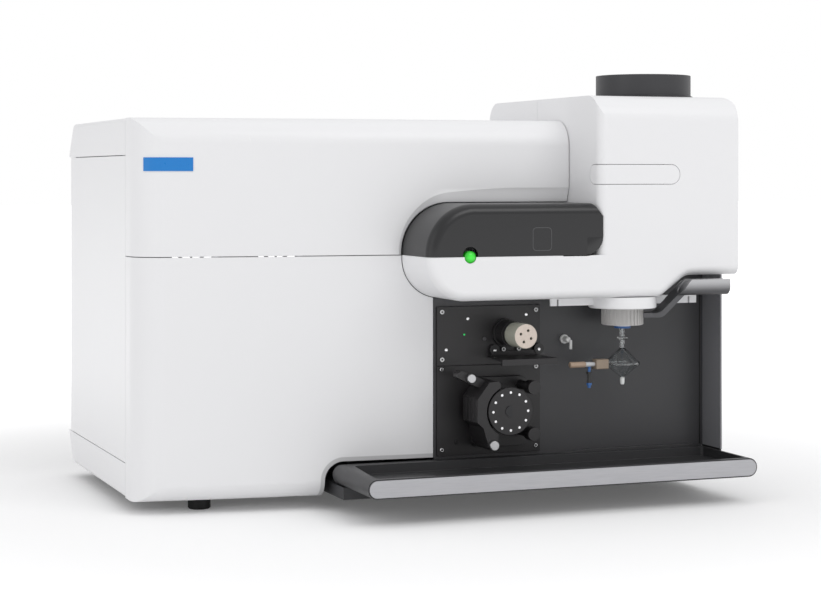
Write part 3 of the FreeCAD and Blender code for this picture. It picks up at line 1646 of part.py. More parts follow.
def make_valve_bracket():
    """Black bracket below the valve: ears on the plate, a shelf and a front lip."""
    plate = size.panel_depth - size.plate_thickness
    left = size.valve_x - 36
    right = size.valve_x + 55
    level = size.bracket_level
    front = size.valve_front + 6
    body = block("valve_bracket", "z", [(left, front), (right, front), (right, front + 6),
                                        (right - 3, plate), (left + 8, plate), (left, front + 6)],
                 level, level + 3)
    pad(body, "y", box_outline(left, right, level - 6, level + 3), front, front + 4)
    pad(body, "y", box_outline(left + 10, right - 1, level, level + 10), plate - 5, plate)
    for x in (left + 16, right - 1):
        pad(body, "y", (x, level + 12, 8), plate - 7, plate)
    keep("valve_bracket", body)


# Torch and sample introduction

def make_torch_bracket():
    """White moulding under the torch box: a front strip, a web and the torch's sleeve."""
    high = size.bay_top - size.fit_gap
    low = size.flange_low
    front = size.torch_y - size.bracket_front
    web = size.bracket_web
    body = new_body("torch_bracket")
    pad(body, "z", box_outline(size.bracket_left, size.bracket_right, front,
                               front + size.bracket_strip), low + 5, high)
    round_edges(body, 2, lambda e: upright(e, 2))
    pad(body, "z", box_outline(size.torch_x - web, size.torch_x + web, front + 1,
                               size.panel_depth - size.fit_gap), low + 5, high)
    pad(body, "z", (size.torch_x, size.torch_y, size.flange_radius), low, high)
    round_edges(body, 2, lambda e: flat_in(e, 2, low))
    for x in (size.bracket_left + 12, size.bracket_right - 14):
        cut(body, "z", box_outline(x - 1.5, x + 1.5, front - 1, front + size.bracket_strip + 1),
            low + 4, high - 3)
    pad(body, "z", (size.torch_x, size.torch_y, size.socket_radius), size.mount_low - 2, low)
    cut(body, "z", (size.torch_x, size.torch_y, size.torch_tube_radius + size.fit_gap),
        size.mount_low - 3, high + 1)
    keep("torch_bracket", body)


def make_loader_collar():
    """Ribbed collar that turns with the handle round the socket."""
    low = size.mount_low
    high = size.flange_low - size.fit_gap
    body = new_body("loader_collar", size.torch_x, size.torch_y, 0)
    radius = size.mount_radius
    spin(body, box_outline(size.socket_radius + size.running_clearance, radius, low, high))
    rib = pad(body, "z", box_outline(radius - 1, radius + 1.2, -1.4, 1.4), low + 1, high - 1)
    pattern = body.newObject("PartDesign::PolarPattern", "collar_ribs")
    pattern.Originals = [rib]
    pattern.Axis = (rib.Profile[0], ["N_Axis"])
    pattern.Angle = 360.0
    pattern.Occurrences = 32
    body.Tip = pattern
    finish_feature(pattern)
    keep("loader_collar", body)


def make_torch_glass():
    """Quartz torch inside the box, and the glass spray chamber below it."""
    tube = size.torch_tube_radius
    low = size.mount_low - 2
    top = size.torch_top
    torch = turned("quartz_torch",
                   [(tube - 1.2, low), (tube, low), (tube, top), (tube - 1.2, top),
                    (tube - 1.2, low + 60), (3.5, low + 50), (3.5, top - 25), (2.3, top - 25),
                    (2.3, low + 48), (tube - 1.2, low + 46)],
                   size.torch_x, size.torch_y, 0)
    keep("quartz_torch", torch)
    seal_low = low - size.seal_thickness
    rim = size.chamber_radius
    high = size.chamber_high
    mid = size.chamber_rim
    bottom = size.chamber_low
    profile = [(2.2, seal_low), (4, seal_low), (4, high + 20), (8.5, high + 18.5),
               (8.5, high + 15.5), (3.6, high + 14), (3.6, high + 2), (rim, mid + 2),
               (rim, mid - 1.5), (rim - 3, mid - 4), (4.5, bottom), (4.5, bottom - 1),
               (2.6, bottom - 1), (rim - 5, mid - 3.5), (rim - 1.8, mid - 0.5),
               (rim - 1.8, mid + 1), (2.2, high - 1)]
    chamber = turned("spray_chamber", profile, size.torch_x, size.torch_y, 0)
    keep("spray_chamber", chamber)


def make_nebulizer():
    """Concentric nebulizer lying along X: pale body, glass stem and square nut."""
    tip = size.torch_x - size.chamber_radius
    nut_left = tip - 20.5
    level = size.chamber_rim
    half = size.nut_half
    nut = block("nebulizer_nut", "x",
                box_outline(size.torch_y - half, size.torch_y + half, level - half, level + half),
                nut_left, tip)
    round_edges(nut, 2, lambda e: upright(e, 0))
    cut(nut, "x", (size.torch_y, level, 3.2), nut_left, tip)
    keep("nebulizer_nut", nut)
    start = size.nebulizer_left
    body = turned("nebulizer",
                  [(0, 0), (3.4, 0), (4.5, 1), (4.5, 25), (3.7, 26), (3.7, 35), (3.2, 36),
                   (3.2, tip - start), (0, tip - start)],
                  start, size.torch_y, level, "right")
    keep("nebulizer", body)


def make_sample_fittings():
    """Torch seal, drain spout, gas side arm with its two collars, and the drain union."""
    x, y = size.torch_x, size.torch_y
    low = size.mount_low - 2
    seal = turned("torch_seal", box_outline(4.2, size.seal_radius, low - size.seal_thickness,
                                            low), x, y, 0)
    bottom = size.chamber_low - 1
    spout = turned("drain_spout", [(0, -11), (2.6, -11), (3.4, -8), (3.4, 0), (0, 0)],
                   x, y, bottom)
    arm = turned("gas_arm",
                 [(0, -32), (2.6, -32), (2.6, -28), (4.2, -28), (4.2, -24), (2.6, -24),
                  (2.6, -11), (4.2, -11), (4.2, -7.5), (2.2, -7.5), (2.2, 0), (0, 0)],
                 size.nebulizer_left + 33, y, size.chamber_rim - 3.7)
    union = turned("drain_union", [(0, 0), (7, 0), (7, 4), (4.5, 4), (4.5, 16), (3, 18),
                                   (0, 18)],
                   size.plate_right + 42, size.panel_depth, size.plate_split + 35, "front")
    keep("sample_fittings", group("sample_fittings", [seal, spout, arm, union]))


# Torch loader handle

def make_loader_handle():
    """Bent satin bar from the collar out to a half-round finger grip."""
    low = size.arm_low
    thick = size.arm_thickness
    high = size.grip_high
    front = size.grip_front
    start = size.arm_bend_start
    end = size.arm_bend_end
    right = size.grip_right - 8
    bar = new_body("handle_bar")
    pad(bar, "y", [(size.torch_x, low), (start + 3, low), (end + 3, high - thick),
                   (right, high - thick), (right, high), (end, high), (start, low + thick),
                   (size.torch_x, low + thick)], front, size.torch_y + 20)
    round_edges(bar, 12, lambda e: upright(e, 1) and start.number - 5
                < e.CenterOfMass.x < end.number + 5)
    plan = block("handle_plan", "z",
                 [(size.torch_x + 8, size.torch_y - 16), (start - 8, size.torch_y - 24),
                  (end, front), (right, front), (right, front + 24), (end + 8, front + 26),
                  (start + 8, size.torch_y - 12), (start - 18, size.torch_y + 14),
                  (size.torch_x + 8, size.torch_y + 14)], low - 5, high + 5)
    bar = boolean("Common", "handle_strip", bar, plan)
    ring = turned("handle_ring_hole", disc_profile(size.mount_radius + 1.3, low - 5, high + 5),
                  size.torch_x, size.torch_y, 0)
    bar = boolean("Cut", "handle_cleared", bar, ring)
    inside = grip_hollow()
    bar = boolean("Cut", "handle_open", bar, inside)
    keep("loader_handle", boolean("Fuse", "loader_handle", bar, loader_grip()))


def loader_grip():
    """Half-round channel open upwards, with a slanted left end."""
    outer = size.grip_radius
    inner = outer - size.grip_wall
    y = size.grip_front + outer
    top = size.grip_high
    z = top - 11
    left = size.grip_left
    right = size.grip_right
    body = new_body("loader_grip")
    pad(body, "x", [(y - outer, top), (y - outer, z), Bow(y + outer, z, outer, -1, True),
                    (y + outer, top), (y + inner, top), (y + inner, z),
                    Bow(y - inner, z, inner, 1, True), (y - inner, top)], left - 4, right)
    cut(body, "y", [(left - 10, top + 1), (left + 20, top + 1), (left - 2, z - outer - 1),
                    (left - 10, z - outer - 1)], y - outer - 5, y + outer + 5)
    return body


def grip_hollow():
    """The space inside the grip, from its slanted end to the right."""
    inner = size.grip_radius - size.grip_wall
    y = size.grip_front + size.grip_radius
    top = size.grip_high
    z = top - 11
    return block("grip_hollow", "x",
                 [(y - inner, top + 5), (y - inner, z), Bow(y + inner, z, inner, -1, True),
                  (y + inner, top + 5)], size.grip_left + 18, size.grip_right + 5)


# Inner works

BENCH_TOP = size.plate_split + size.frame_tube / 2 + size.bench_thickness


def make_optics_bench():
    """Cast bench on the frame's rails that carries the optics."""
    left = size.frame_tube + 30
    right = size.torch_x + 100
    front = size.split_depth + size.frame_tube
    low = size.plate_split + size.frame_tube / 2
    body = block("optics_bench", "z", box_outline(left, right, front, REAR_FACE - 30),
                 low, BENCH_TOP)
    round_edges(body, 12, lambda e: upright(e, 2))
    keep("optics_bench", body)


def mirror_block(name, x, y, wide, turn):
    """Mirror block on a foot, turned about the upright."""
    body = new_body(name, x, y, BENCH_TOP)
    body.Placement.Rotation = FreeCAD.Rotation(FreeCAD.Vector(0, 0, 1), turn)
    half = wide / 2
    pad(body, "z", box_outline(-half, half, -20, 20), 0, 8)
    pad(body, "y", box_outline(-half + 4, half - 4, 4, 74), -8, 8)
    round_edges(body, 10, lambda e: upright(e, 1) and e.CenterOfMass.z > 60)
    pad(body, "y", (0, 40, size.mirror_radius), -11, -7)
    return body


def make_optics():
    """Two mirrors, a diffraction grating and a detector camera along the light path."""
    x = size.mirror_x
    wide = size.mirror_width
    front = size.split_depth + size.works_gap
    mirrors = [mirror_block("collimating_mirror", x, front + 40, wide, -12),
               mirror_block("focusing_mirror", x, front + 180, wide, -150)]
    keep("bench_mirrors", group("bench_mirrors", mirrors))
    body = new_body("diffraction_grating", x + 400, front + 150, BENCH_TOP)
    pad(body, "z", (0, 0, 34), 0, 10)
    pad(body, "z", box_outline(-30, 30, -8, 10), 9, 70)
    pad(body, "y", box_outline(-24, 24, 20, 62), -10, -7)
    keep("diffraction_grating", body)
    camera = new_body("detector_camera", x + 360, front + 30, BENCH_TOP)
    pad(camera, "z", box_outline(-45, 45, -40, 40), 0, 90)
    round_edges(camera, 5, lambda e: upright(e, 2))
    pad(camera, "x", (0, 45, 22), -57, -44)
    cut(camera, "x", (0, 45, 17), -58, -50)
    keep("detector_camera", camera)


def make_plasma_source():
    """Magnetron on its stand, and the waveguide that leads to the torch."""
    wall = size.panel_sheet
    x = size.torch_x
    low = size.guide_low
    high = low + size.guide_height
    half = size.guide_width / 2
    front = size.torch_y - half
    back = size.split_depth + 58
    guide = block("waveguide", "z", box_outline(x - half, x + half, front, back), low, high)
    cut(guide, "z", box_outline(x - half + wall, x + half - wall, front + wall, back - wall),
        low + wall, high - wall)
    cut(guide, "z", (x, size.torch_y, size.torch_tube_radius + 1.5), low - 1, high + 1)
    body = new_body("magnetron", x, back, BENCH_TOP)
    pad(body, "z", box_outline(-40, 40, 0, 90), 0, low - 12 - BENCH_TOP)
    pad(body, "z", box_outline(-30, 30, 4, 84), low - 13 - BENCH_TOP, high + 10 - BENCH_TOP)
    for fin in range(6):
        level = low - BENCH_TOP + fin * 9
        pad(body, "z", box_outline(-40, 40, 2, 90), level, level + 2)
    pad(body, "z", box_outline(-half, half, 0, 5), low - 13 - BENCH_TOP, high + 4 - BENCH_TOP)
    keep("plasma_source", group("plasma_source", [guide, body]))


def make_electronics():
    """Power supply case and a control board on standoffs, on the base pan."""
    floor = size.base_height + size.cover_wall + size.panel_sheet
    front = size.split_depth + size.works_gap
    left = size.supply_left
    right = left + size.supply_width
    supply = block("power_supply", "z", box_outline(left, right, front, REAR_FACE - 43), floor,
                   floor + size.supply_height)
    round_edges(supply, 3, lambda e: upright(e, 2))
    for row in range(8):
        cut(supply, "y", slot_outline(left + 30, right - 30, floor + 20 + row * 10, 2.5),
            front - 1, front + 3)
    keep("power_supply", supply)
    left = size.board_left
    right = left + size.board_width
    back = front + size.board_depth
    sheet = floor + 30
    board = block("control_board", "z", box_outline(left, right, front, back), sheet, sheet + 2)
    for x in (left + 10, right - 10):
        for y in (front + 10, back - 10):
            pad(board, "z", (x, y, 4), floor, sheet + 1)
    for x, y, wide, deep, tall in ((60, 60, 60, 60, 12), (160, 50, 40, 30, 8),
                                   (40, 160, 30, 20, 18), (130, 150, 90, 24, 10)):
        pad(board, "z", box_outline(left + x, left + x + wide, front + y, front + y + deep),
            sheet + 1, sheet + 2 + tall)
    keep("control_board", board)


make_upper_front_cover()
make_lower_front_cover()
make_roof_cover()
make_base_skirt()
make_side_panels()
make_base_chassis()
make_feet()
make_inner_frame()
make_rear_panel()
make_fans()
make_mains_inlet()
make_ports()
make_gas_inlets()
make_torch_front_cover()
make_window_flap()
make_flap_hinge()
make_viewing_window()
make_torch_rear_cover()
make_indicator_band()
make_power_button()
make_exhaust_collar()
make_compartment_panel()
make_compartment_wall()
make_front_tray()
make_plates()
make_plate_screws()
make_pump_head()
make_pump_rotor()
make_pump_shaft()
make_pump_rollers()
make_pressure_shoe()
make_shoe_pivot()
make_tension_block()
make_pump_motor()
make_valve()
make_valve_bracket()
make_torch_bracket()
make_loader_collar()
make_torch_glass()
make_nebulizer()
make_sample_fittings()
make_loader_handle()
make_optics_bench()
make_optics()
make_plasma_source()
make_electronics()

DOC.recompute()
for item in DOC.Objects:
    if "Invalid" in item.State or "Error" in item.State:
        raise RuntimeError(item.Name + " is in error")
for name, item in PIECES.items():
    if item.Shape.isNull() or not item.Shape.isValid() or not item.Shape.Solids:
        raise RuntimeError(name + " has no sound solid")

os.makedirs("parts", exist_ok=True)
for name, item in PIECES.items():
    item.Shape.exportStep("parts/%s.step" % name)
print(len(PIECES), "pieces")
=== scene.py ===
# %% [markdown]
# # A plasma atomic emission spectrometer
# This notebook dresses a bench-top analyser: a large white case on the left, a torch box with
# an exhaust collar on the right, and an open compartment below it with a pump, a valve and
# glassware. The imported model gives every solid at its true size, so the work here is camera,
# light, finishes, and the small pieces that a maker would add last.

import json
import math
import bpy
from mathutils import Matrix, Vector

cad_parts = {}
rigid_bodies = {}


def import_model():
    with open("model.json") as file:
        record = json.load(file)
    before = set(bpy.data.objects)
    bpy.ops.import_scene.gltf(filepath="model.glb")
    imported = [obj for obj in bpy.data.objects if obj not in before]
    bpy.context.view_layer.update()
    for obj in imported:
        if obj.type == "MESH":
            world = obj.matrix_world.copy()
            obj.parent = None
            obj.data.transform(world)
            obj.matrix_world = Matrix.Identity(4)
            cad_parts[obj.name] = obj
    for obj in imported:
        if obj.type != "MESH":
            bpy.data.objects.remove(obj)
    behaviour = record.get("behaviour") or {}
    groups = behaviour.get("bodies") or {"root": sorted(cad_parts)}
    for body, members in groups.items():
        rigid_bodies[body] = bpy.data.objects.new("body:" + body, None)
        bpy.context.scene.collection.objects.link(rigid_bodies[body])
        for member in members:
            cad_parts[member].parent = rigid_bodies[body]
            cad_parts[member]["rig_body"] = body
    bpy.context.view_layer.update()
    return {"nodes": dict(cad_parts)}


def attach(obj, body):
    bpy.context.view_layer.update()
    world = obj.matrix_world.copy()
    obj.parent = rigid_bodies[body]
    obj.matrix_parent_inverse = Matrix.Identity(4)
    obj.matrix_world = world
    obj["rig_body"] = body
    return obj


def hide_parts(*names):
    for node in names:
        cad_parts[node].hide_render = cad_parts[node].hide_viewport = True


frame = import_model()
NODES = frame["nodes"]

# %% [markdown]
# The instrument was drawn from its own left side, front and bench, in millimetres. Its origin in
# the model lies under its middle. One small function turns a drawing point into a scene point,
# so that every number below can be read off the drawing.

# %% Drawing frame
MIDDLE = Vector((457.0, 298.0, 0.0))


def at(x, y, z):
    """A point of the drawing, in millimetres, as a point of the scene, in metres."""
    return (Vector((x, y, z)) - MIDDLE) / 1000


print("the torch stands at", [round(v, 4) for v in at(735.5, 50, 0)])

# %% [markdown]
# ## Camera
# The upright edges stay parallel in the photograph, so the camera is level and its frame is
# shifted down instead. It stands to the left of the instrument, turned about 21 degrees, some
# three metres away, with a lens of about 87 mm.

# %% Camera
lens = bpy.data.cameras.new("camera")
lens.sensor_width = 36.0
lens.lens = 86.73
lens.shift_y = -0.1577
camera = bpy.data.objects.new("camera", lens)
camera.location = at(-655.7, -2669.6, 498.5)
camera.rotation_euler = (math.radians(90), 0, math.radians(-20.98))
bpy.context.scene.collection.objects.link(camera)
bpy.context.scene.camera = camera
bpy.context.scene.view_settings.view_transform = "Standard"
print("camera at", [round(v, 3) for v in camera.location])

# %% [markdown]
# ## Writing finishes
# A finish is a small network of shader nodes. Maths on sockets reads best as maths, so one class
# wraps a socket and gives it the usual operators, and another builds nodes from their type,
# their settings and what goes into their sockets.

# %% Shader maths
class Value:
    """A number that the shader works out at each point of a surface."""

    def __init__(self, finish, socket):
        self.finish = finish
        self.socket = socket

    def maths(self, operation, *inputs):
        """A Math node on this value and others."""
        return self.finish.node("Math", {"operation": operation}, dict(enumerate(inputs)))

    def __add__(self, other):
        return self.maths("ADD", self, other)

    def __mul__(self, other):
        return self.maths("MULTIPLY", self, other)

    def __sub__(self, other):
        return self.maths("SUBTRACT", self, other)

    def __rsub__(self, other):
        return self.maths("SUBTRACT", other, self)

    def __pow__(self, other):
        return self.maths("POWER", self, other)

    def __rpow__(self, other):
        return self.maths("POWER", other, self)

    def __abs__(self):
        return self.maths("ABSOLUTE", self)

    def __lt__(self, other):
        return self.maths("LESS_THAN", self, other)

    def __gt__(self, other):
        return self.maths("GREATER_THAN", self, other)

    __radd__ = __add__
    __rmul__ = __mul__


# %% Finish
class Finish:
    """A material in the making: its nodes, and its surface's sockets."""

    def __init__(self, name, **surface):
        self.slot = name
        self.material = bpy.data.materials.new(name)
        self.material.use_nodes = True
        self.tree = self.material.node_tree
        self.shader = self.tree.nodes["Principled BSDF"]
        for label, value in surface.items():
            self.set(label.replace("_", " ").title().replace("Ior", "IOR"), value)
        self.place = self.node("TexCoord", {}, {}, "Object")

    def set(self, label, value):
        """Give one of the surface's sockets a number, a colour or a worked out value."""
        self.join(self.shader.inputs[label], value)

    def join(self, socket, value):
        """Link a value to a socket, or set the socket to a number or a colour."""
        if isinstance(value, Value):
            self.tree.links.new(value.socket, socket)
        elif isinstance(value, (tuple, list)) and len(value) == 3 and len(
                getattr(socket, "default_value", value)) == 4:
            socket.default_value = (*value, 1)
        else:
            socket.default_value = value

    def node(self, kind, settings, sockets, output=0):
        """A node of a type, with its settings, what goes into its sockets, and one output."""
        made = self.tree.nodes.new("ShaderNode" + kind)
        for label, value in settings.items():
            setattr(made, label, value)
        for label, value in sockets.items():
            self.join(made.inputs[label], value)
        return Value(self, made.outputs[output])

    def noise(self, scale, detail, stretch=None):
        """Noise of a scale per metre, from 0 to 1, stretched along the axes if wanted."""
        where = self.place
        if stretch:
            where = self.node("Mapping", {}, {"Vector": where, "Scale": stretch})
        return self.node("TexNoise", {}, {"Vector": where, "Scale": scale, "Detail": detail})

    def axis(self, letter):
        """One coordinate of the point, in metres."""
        return self.node("SeparateXYZ", {}, {0: self.place}, letter)

    def blend(self, share, first, last):
        """A colour between two colours."""
        return self.node("Mix", {"data_type": "RGBA"}, {0: share, 6: first, 7: last}, 2)

    def most(self, first, second):
        """The larger of two values."""
        return self.node("Math", {"operation": "MAXIMUM"}, {0: first, 1: second})

    def tint(self, share, shade):
        """Lay another colour over the surface's own where a share, from 0 to 1, says so."""
        own = Value(self, self.shader.inputs["Base Color"].links[0].from_socket)
        self.set("Base Color", self.blend(share, own, shade))

    def ramp(self, value, start, stop, smooth=True):
        """A value turned into a share: 0 up to one mark, 1 from another on."""
        kind = "SMOOTHSTEP" if smooth else "LINEAR"
        return self.node("MapRange", {"interpolation_type": kind},
                         {"Value": value, "From Min": start, "From Max": stop})

    def relief(self, height, strength, depth):
        """Let a height, from 0 to 1, shape the surface by a depth in metres, on top of the last."""
        sockets = {"Strength": strength, "Distance": depth, "Height": height}
        last = self.shader.inputs["Normal"].links
        if last:
            sockets["Normal"] = Value(self, last[0].from_socket)
        self.set("Normal", self.node("Bump", {}, sockets))


FINISHES = {}


def paint(names, finish):
    """Give CAD nodes a finish."""
    FINISHES[finish.material.name] = finish
    for name in names:
        NODES[name].data.materials.clear()
        NODES[name].data.materials.append(finish.material)
    print(finish.material.name, "on", len(names), "nodes")


# %% [markdown]
# ## Studio
# The photograph has a white sweep with only a soft shadow under the instrument. The floor here is
# pale, and for the camera it glows just enough to reach white where nothing shades it. Mirror-like
# surfaces see the same white. Further off, where the lamps no longer reach, it glows more. The
# world is an even grey dome, which the camera sees as white.

# %% Floor
bpy.ops.object.select_all(action="DESELECT")
bpy.ops.mesh.primitive_plane_add(size=60, location=(0, 0, 0))
floor = bpy.context.object
floor.name = "studio_floor"
sweep = Finish("studio_white", base_color=(0.92, 0.92, 0.92), roughness=1.0)
sweep.set("Specular IOR Level", 0.0)
shown = sweep.node("LightPath", {}, {}, "Is Camera Ray")
for ray in ("Is Glossy Ray", "Is Transmission Ray"):
    shown = shown + sweep.node("LightPath", {}, {}, ray)
NEAR, FAR = 0.6, 2.2
NEAR_GLOW, FAR_GLOW = 0.10, 0.75
distance = (sweep.axis("X") ** 2 + sweep.axis("Y") ** 2) ** 0.5
glow = sweep.ramp(distance, NEAR, FAR) * (FAR_GLOW - NEAR_GLOW) + NEAR_GLOW
sweep.set("Emission Color", shown * glow)
sweep.set("Emission Strength", 1.0)
floor.data.materials.append(sweep.material)
print("floor", tuple(floor.dimensions))

# %% Dome
world = bpy.data.worlds.new("studio_dome")
bpy.context.scene.world = world
world.use_nodes = True
web = world.node_tree
dome = web.nodes["Background"]
dome.inputs["Color"].default_value = (0.60, 0.60, 0.605, 1)
dome.inputs["Strength"].default_value = 1.3
backdrop = web.nodes.new("ShaderNodeBackground")
backdrop.inputs["Color"].default_value = (1, 1, 1, 1)
path = web.nodes.new("ShaderNodeLightPath")
either = web.nodes.new("ShaderNodeMixShader")
web.links.new(path.outputs["Is Camera Ray"], either.inputs[0])
web.links.new(dome.outputs[0], either.inputs[1])
web.links.new(backdrop.outputs[0], either.inputs[2])
web.links.new(either.outputs[0], web.nodes["World Output"].inputs["Surface"])
print("dome strength", dome.inputs["Strength"].default_value)

# %% [markdown]
# Three large soft lamps shape the forms: a key high in front, slightly to the right, a weaker one
# on the left that keeps the side panel bright, and a faint one above. All are big, so that no edge
# is hard.

# %% Lamps
def lamp(name, place, target, width, height, watts):
    """A soft rectangular lamp that points at a target."""
    data = bpy.data.lights.new(name, "AREA")
    data.shape = "RECTANGLE"
    data.size = width
    data.size_y = height
    data.energy = watts
    item = bpy.data.objects.new(name, data)
    item.location = place
    item.rotation_euler = (Vector(target) - Vector(place)).to_track_quat("-Z", "Y").to_euler()
    bpy.context.scene.collection.objects.link(item)


lamp("key", (0.9, -2.6, 2.9), (0, 0, 0.35), 2.4, 1.6, 25)
lamp("side", (-3.0, -1.0, 1.5), (-0.3, 0, 0.35), 1.8, 2.2, 7)
lamp("top", (0, 0.1, 3.2), (0, 0, 0.5), 2.4, 2.4, 4)
print("three lamps")

# %% [markdown]
# ## Finishes
# The covers are satin painted mouldings. Real paint is never one flat tone: it has a very fine
# orange peel and a faint change of gloss. The relief is hundredths of a millimetre, so it only
# softens the reflections. Two covers are hollowed along an edge: the upper one round the dark band
# and the lower one round the tray's notch. There the paint is greyer, by its distance from the
# rounded outline, as painted shade for the hollow. Right of the band's corner it is tilted up
# towards the light instead.

# %% White paint
PAPER, PAPER_GLOSS = (0.86, 0.86, 0.87), 0.38


def grey_paper(tone):
    """The paint's colour at a share of its brightness."""
    return tuple(part * tone for part in PAPER)


def white_paint(name):
    """Satin white paint."""
    finish = Finish(name, roughness=PAPER_GLOSS)
    warm = grey_paper(0.985)
    finish.set("Base Color", finish.blend(finish.noise(3.0, 3), PAPER, warm))
    finish.relief(finish.noise(900, 2), 0.12, 0.00006)
    finish.set("Roughness", finish.noise(40, 3) * 0.08 + (PAPER_GLOSS - 0.04))
    finish.set("IOR", 1.46)
    finish.slot = "white_shell"
    return finish


def outside(finish, left, top, radius):
    """How far a point is from an outline with one rounded corner, at its upper left, in metres."""
    beside = finish.most(at(left + radius, 0, 0).x - finish.axis("X"), 0)
    above = finish.most(finish.axis("Z") - at(0, 0, top - radius).z, 0)
    return (beside ** 2 + above ** 2) ** 0.5 - radius / 1000


SHELL = white_paint("white_shell")

BAND_CORNER, HOLLOW_WIDTH, HOLLOW_DEPTH = (397, 457, 74), 0.023, 0.005
COVE = white_paint("white_cove_painted_shade")
clear = COVE.ramp(outside(COVE, *BAND_CORNER), 0, HOLLOW_WIDTH)
past_corner = COVE.ramp(COVE.axis("X"), at(430, 0, 0).x, at(470, 0, 0).x)
# Painted shade: left of the band's corner, the hollow round the band is painted greyer near it.
COVE.tint(1 - COVE.most(clear, past_corner), grey_paper(0.92))
COVE.relief((1 - clear) * past_corner, 1.0, HOLLOW_DEPTH)

NOTCH_CORNER = (278, 72.5, 28)
LIP = white_paint("white_lip_painted_shade")
clear = LIP.ramp(outside(LIP, *NOTCH_CORNER), 0.0055, 0.0075)
# Painted shade: a strip round the tray's notch is painted much greyer, for the shade in its hollow.
LIP.tint(1 - clear, grey_paper(0.66))

paint(["roof_cover", "base_skirt", "left_side_panel", "right_side_panel", "torch_front_cover",
       "torch_rear_cover", "window_flap", "torch_bracket"], SHELL)
paint(["upper_front_cover"], COVE)
paint(["lower_front_cover"], LIP)

# %% [markdown]
# The dark parts are of four kinds: glossy moulded plastic on the band, satin paint on sheet metal,
# black anodised plates with a bead-blasted grain, and grained plastic on the tray. They differ in
# grain and gloss more than in colour, and the white room does the rest.

# %% Dark finishes
def dark(name, shade, gloss, grain, depth, speck=0.12):
    """A dark surface with a grain of a given scale per metre, and specks a little lighter."""
    finish = Finish(name, roughness=gloss)
    fine = finish.noise(grain, 3)
    broad = finish.noise(6, 2)
    light = tuple(part * (1 + speck * 2) + 0.002 for part in shade)
    finish.set("Base Color", finish.blend(fine * 0.6 + broad * 0.4, shade, light))
    finish.set("Roughness", fine * 0.12 + (gloss - 0.06))
    finish.relief(fine, 0.3, depth)
    return finish


BAND = dark("black_band", (0.009, 0.009, 0.010), 0.30, 1200, 0.00004)
SHEET = dark("dark_panel", (0.040, 0.040, 0.043), 0.45, 1500, 0.00005)
# Painted light: the right wall has the dark panel's paint made several times lighter, for light it
# misses in its corner.
WALL_PAINTED_LIGHTER = dark("dark_wall_painted_light", (0.23, 0.23, 0.245), 0.42, 1500, 0.00005, 0.02)
WALL_PAINTED_LIGHTER.slot = "dark_panel"
PLATE = dark("black_plate", (0.010, 0.009, 0.010), 0.42, 2200, 0.00006)
TRAY = dark("dark_tray", (0.029, 0.029, 0.031), 0.40, 1400, 0.00008)
TRAY.slot = "dark_panel"
MATT = dark("black_plastic", (0.012, 0.012, 0.012), 0.5, 1800, 0.00006)
COLLAR = dark("collar_grey", (0.028, 0.028, 0.031), 0.42, 1600, 0.00005)
RUBBER = dark("rubber", (0.012, 0.012, 0.012), 0.8, 900, 0.0002)
paint(["indicator_band", "power_switch"], BAND)
paint(["compartment_panel", "base_chassis"], SHEET)
paint(["compartment_wall"], WALL_PAINTED_LIGHTER)
paint(["front_tray"], TRAY)
paint(["valve_plate", "pump_plate", "pump_head", "valve_actuator", "valve_bracket", "pump_rotor",
       "pressure_shoe", "tension_block", "pump_motor"], PLATE)
paint(["fan_rotor_1", "fan_rotor_2", "mains_inlet", "mains_rocker"], MATT)
paint(["exhaust_collar"], COLLAR)
paint(["levelling_feet"], RUBBER)

# %% [markdown]
# Bare metal is bright where the room is bright, so most of its look is roughness. Turned pins and
# screws are nearly mirrors with fine marks, the handle is bead blasted with painted shade on its
# lower half, the trim is brushed along its length, and the plated sheet behind has faint cloudy
# spangles.

# %% Metals
def metal(name, shade, gloss, grain, depth, stretch=None, spread=0.1, metallic=1.0):
    """Metal with fine marks of a given scale per metre, which also change its gloss."""
    finish = Finish(name, metallic=metallic, roughness=gloss)
    marks = finish.noise(grain, 3, stretch)
    dull = tuple(part * 0.86 for part in shade)
    finish.set("Base Color", finish.blend(marks, shade, dull))
    finish.set("Roughness", marks * spread + (gloss - spread / 2))
    finish.relief(marks, 0.25, depth)
    return finish


BRIGHT = metal("bright_steel", (0.78, 0.78, 0.79), 0.22, 900, 0.00003)
TRIM = metal("tray_silver", (0.50, 0.50, 0.52), 0.42, 700, 0.00003, (0.05, 1, 1), 0.12)
SATIN = metal("satin_bar", (0.49, 0.49, 0.50), 0.48, 1600, 0.00004)
# Painted shade: the grip's lower half is painted dark, as the side turned away from the light.
painted_shade_lower_half = 1 - SATIN.ramp(SATIN.axis("Z"), at(0, 0, 321).z, at(0, 0, 338).z)
SATIN.tint(painted_shade_lower_half, (0.12, 0.12, 0.125))
ZINC = metal("frame_steel", (0.52, 0.53, 0.55), 0.42, 60, 0.00002)
BRASS = metal("brass_union", (0.72, 0.52, 0.26), 0.28, 800, 0.00003)
CASTING = metal("cast_bench", (0.20, 0.20, 0.22), 0.55, 500, 0.0002, metallic=0.3)
OPTIC = metal("optic", (0.55, 0.55, 0.58), 0.12, 300, 0.00001)
CASE = metal("case_metal", (0.58, 0.59, 0.60), 0.38, 50, 0.00002)
SOCKET = metal("socket_metal", (0.62, 0.62, 0.64), 0.3, 700, 0.00002)
STEEL = metal("dark_steel", (0.035, 0.035, 0.037), 0.40, 900, 0.00003, metallic=0.6)
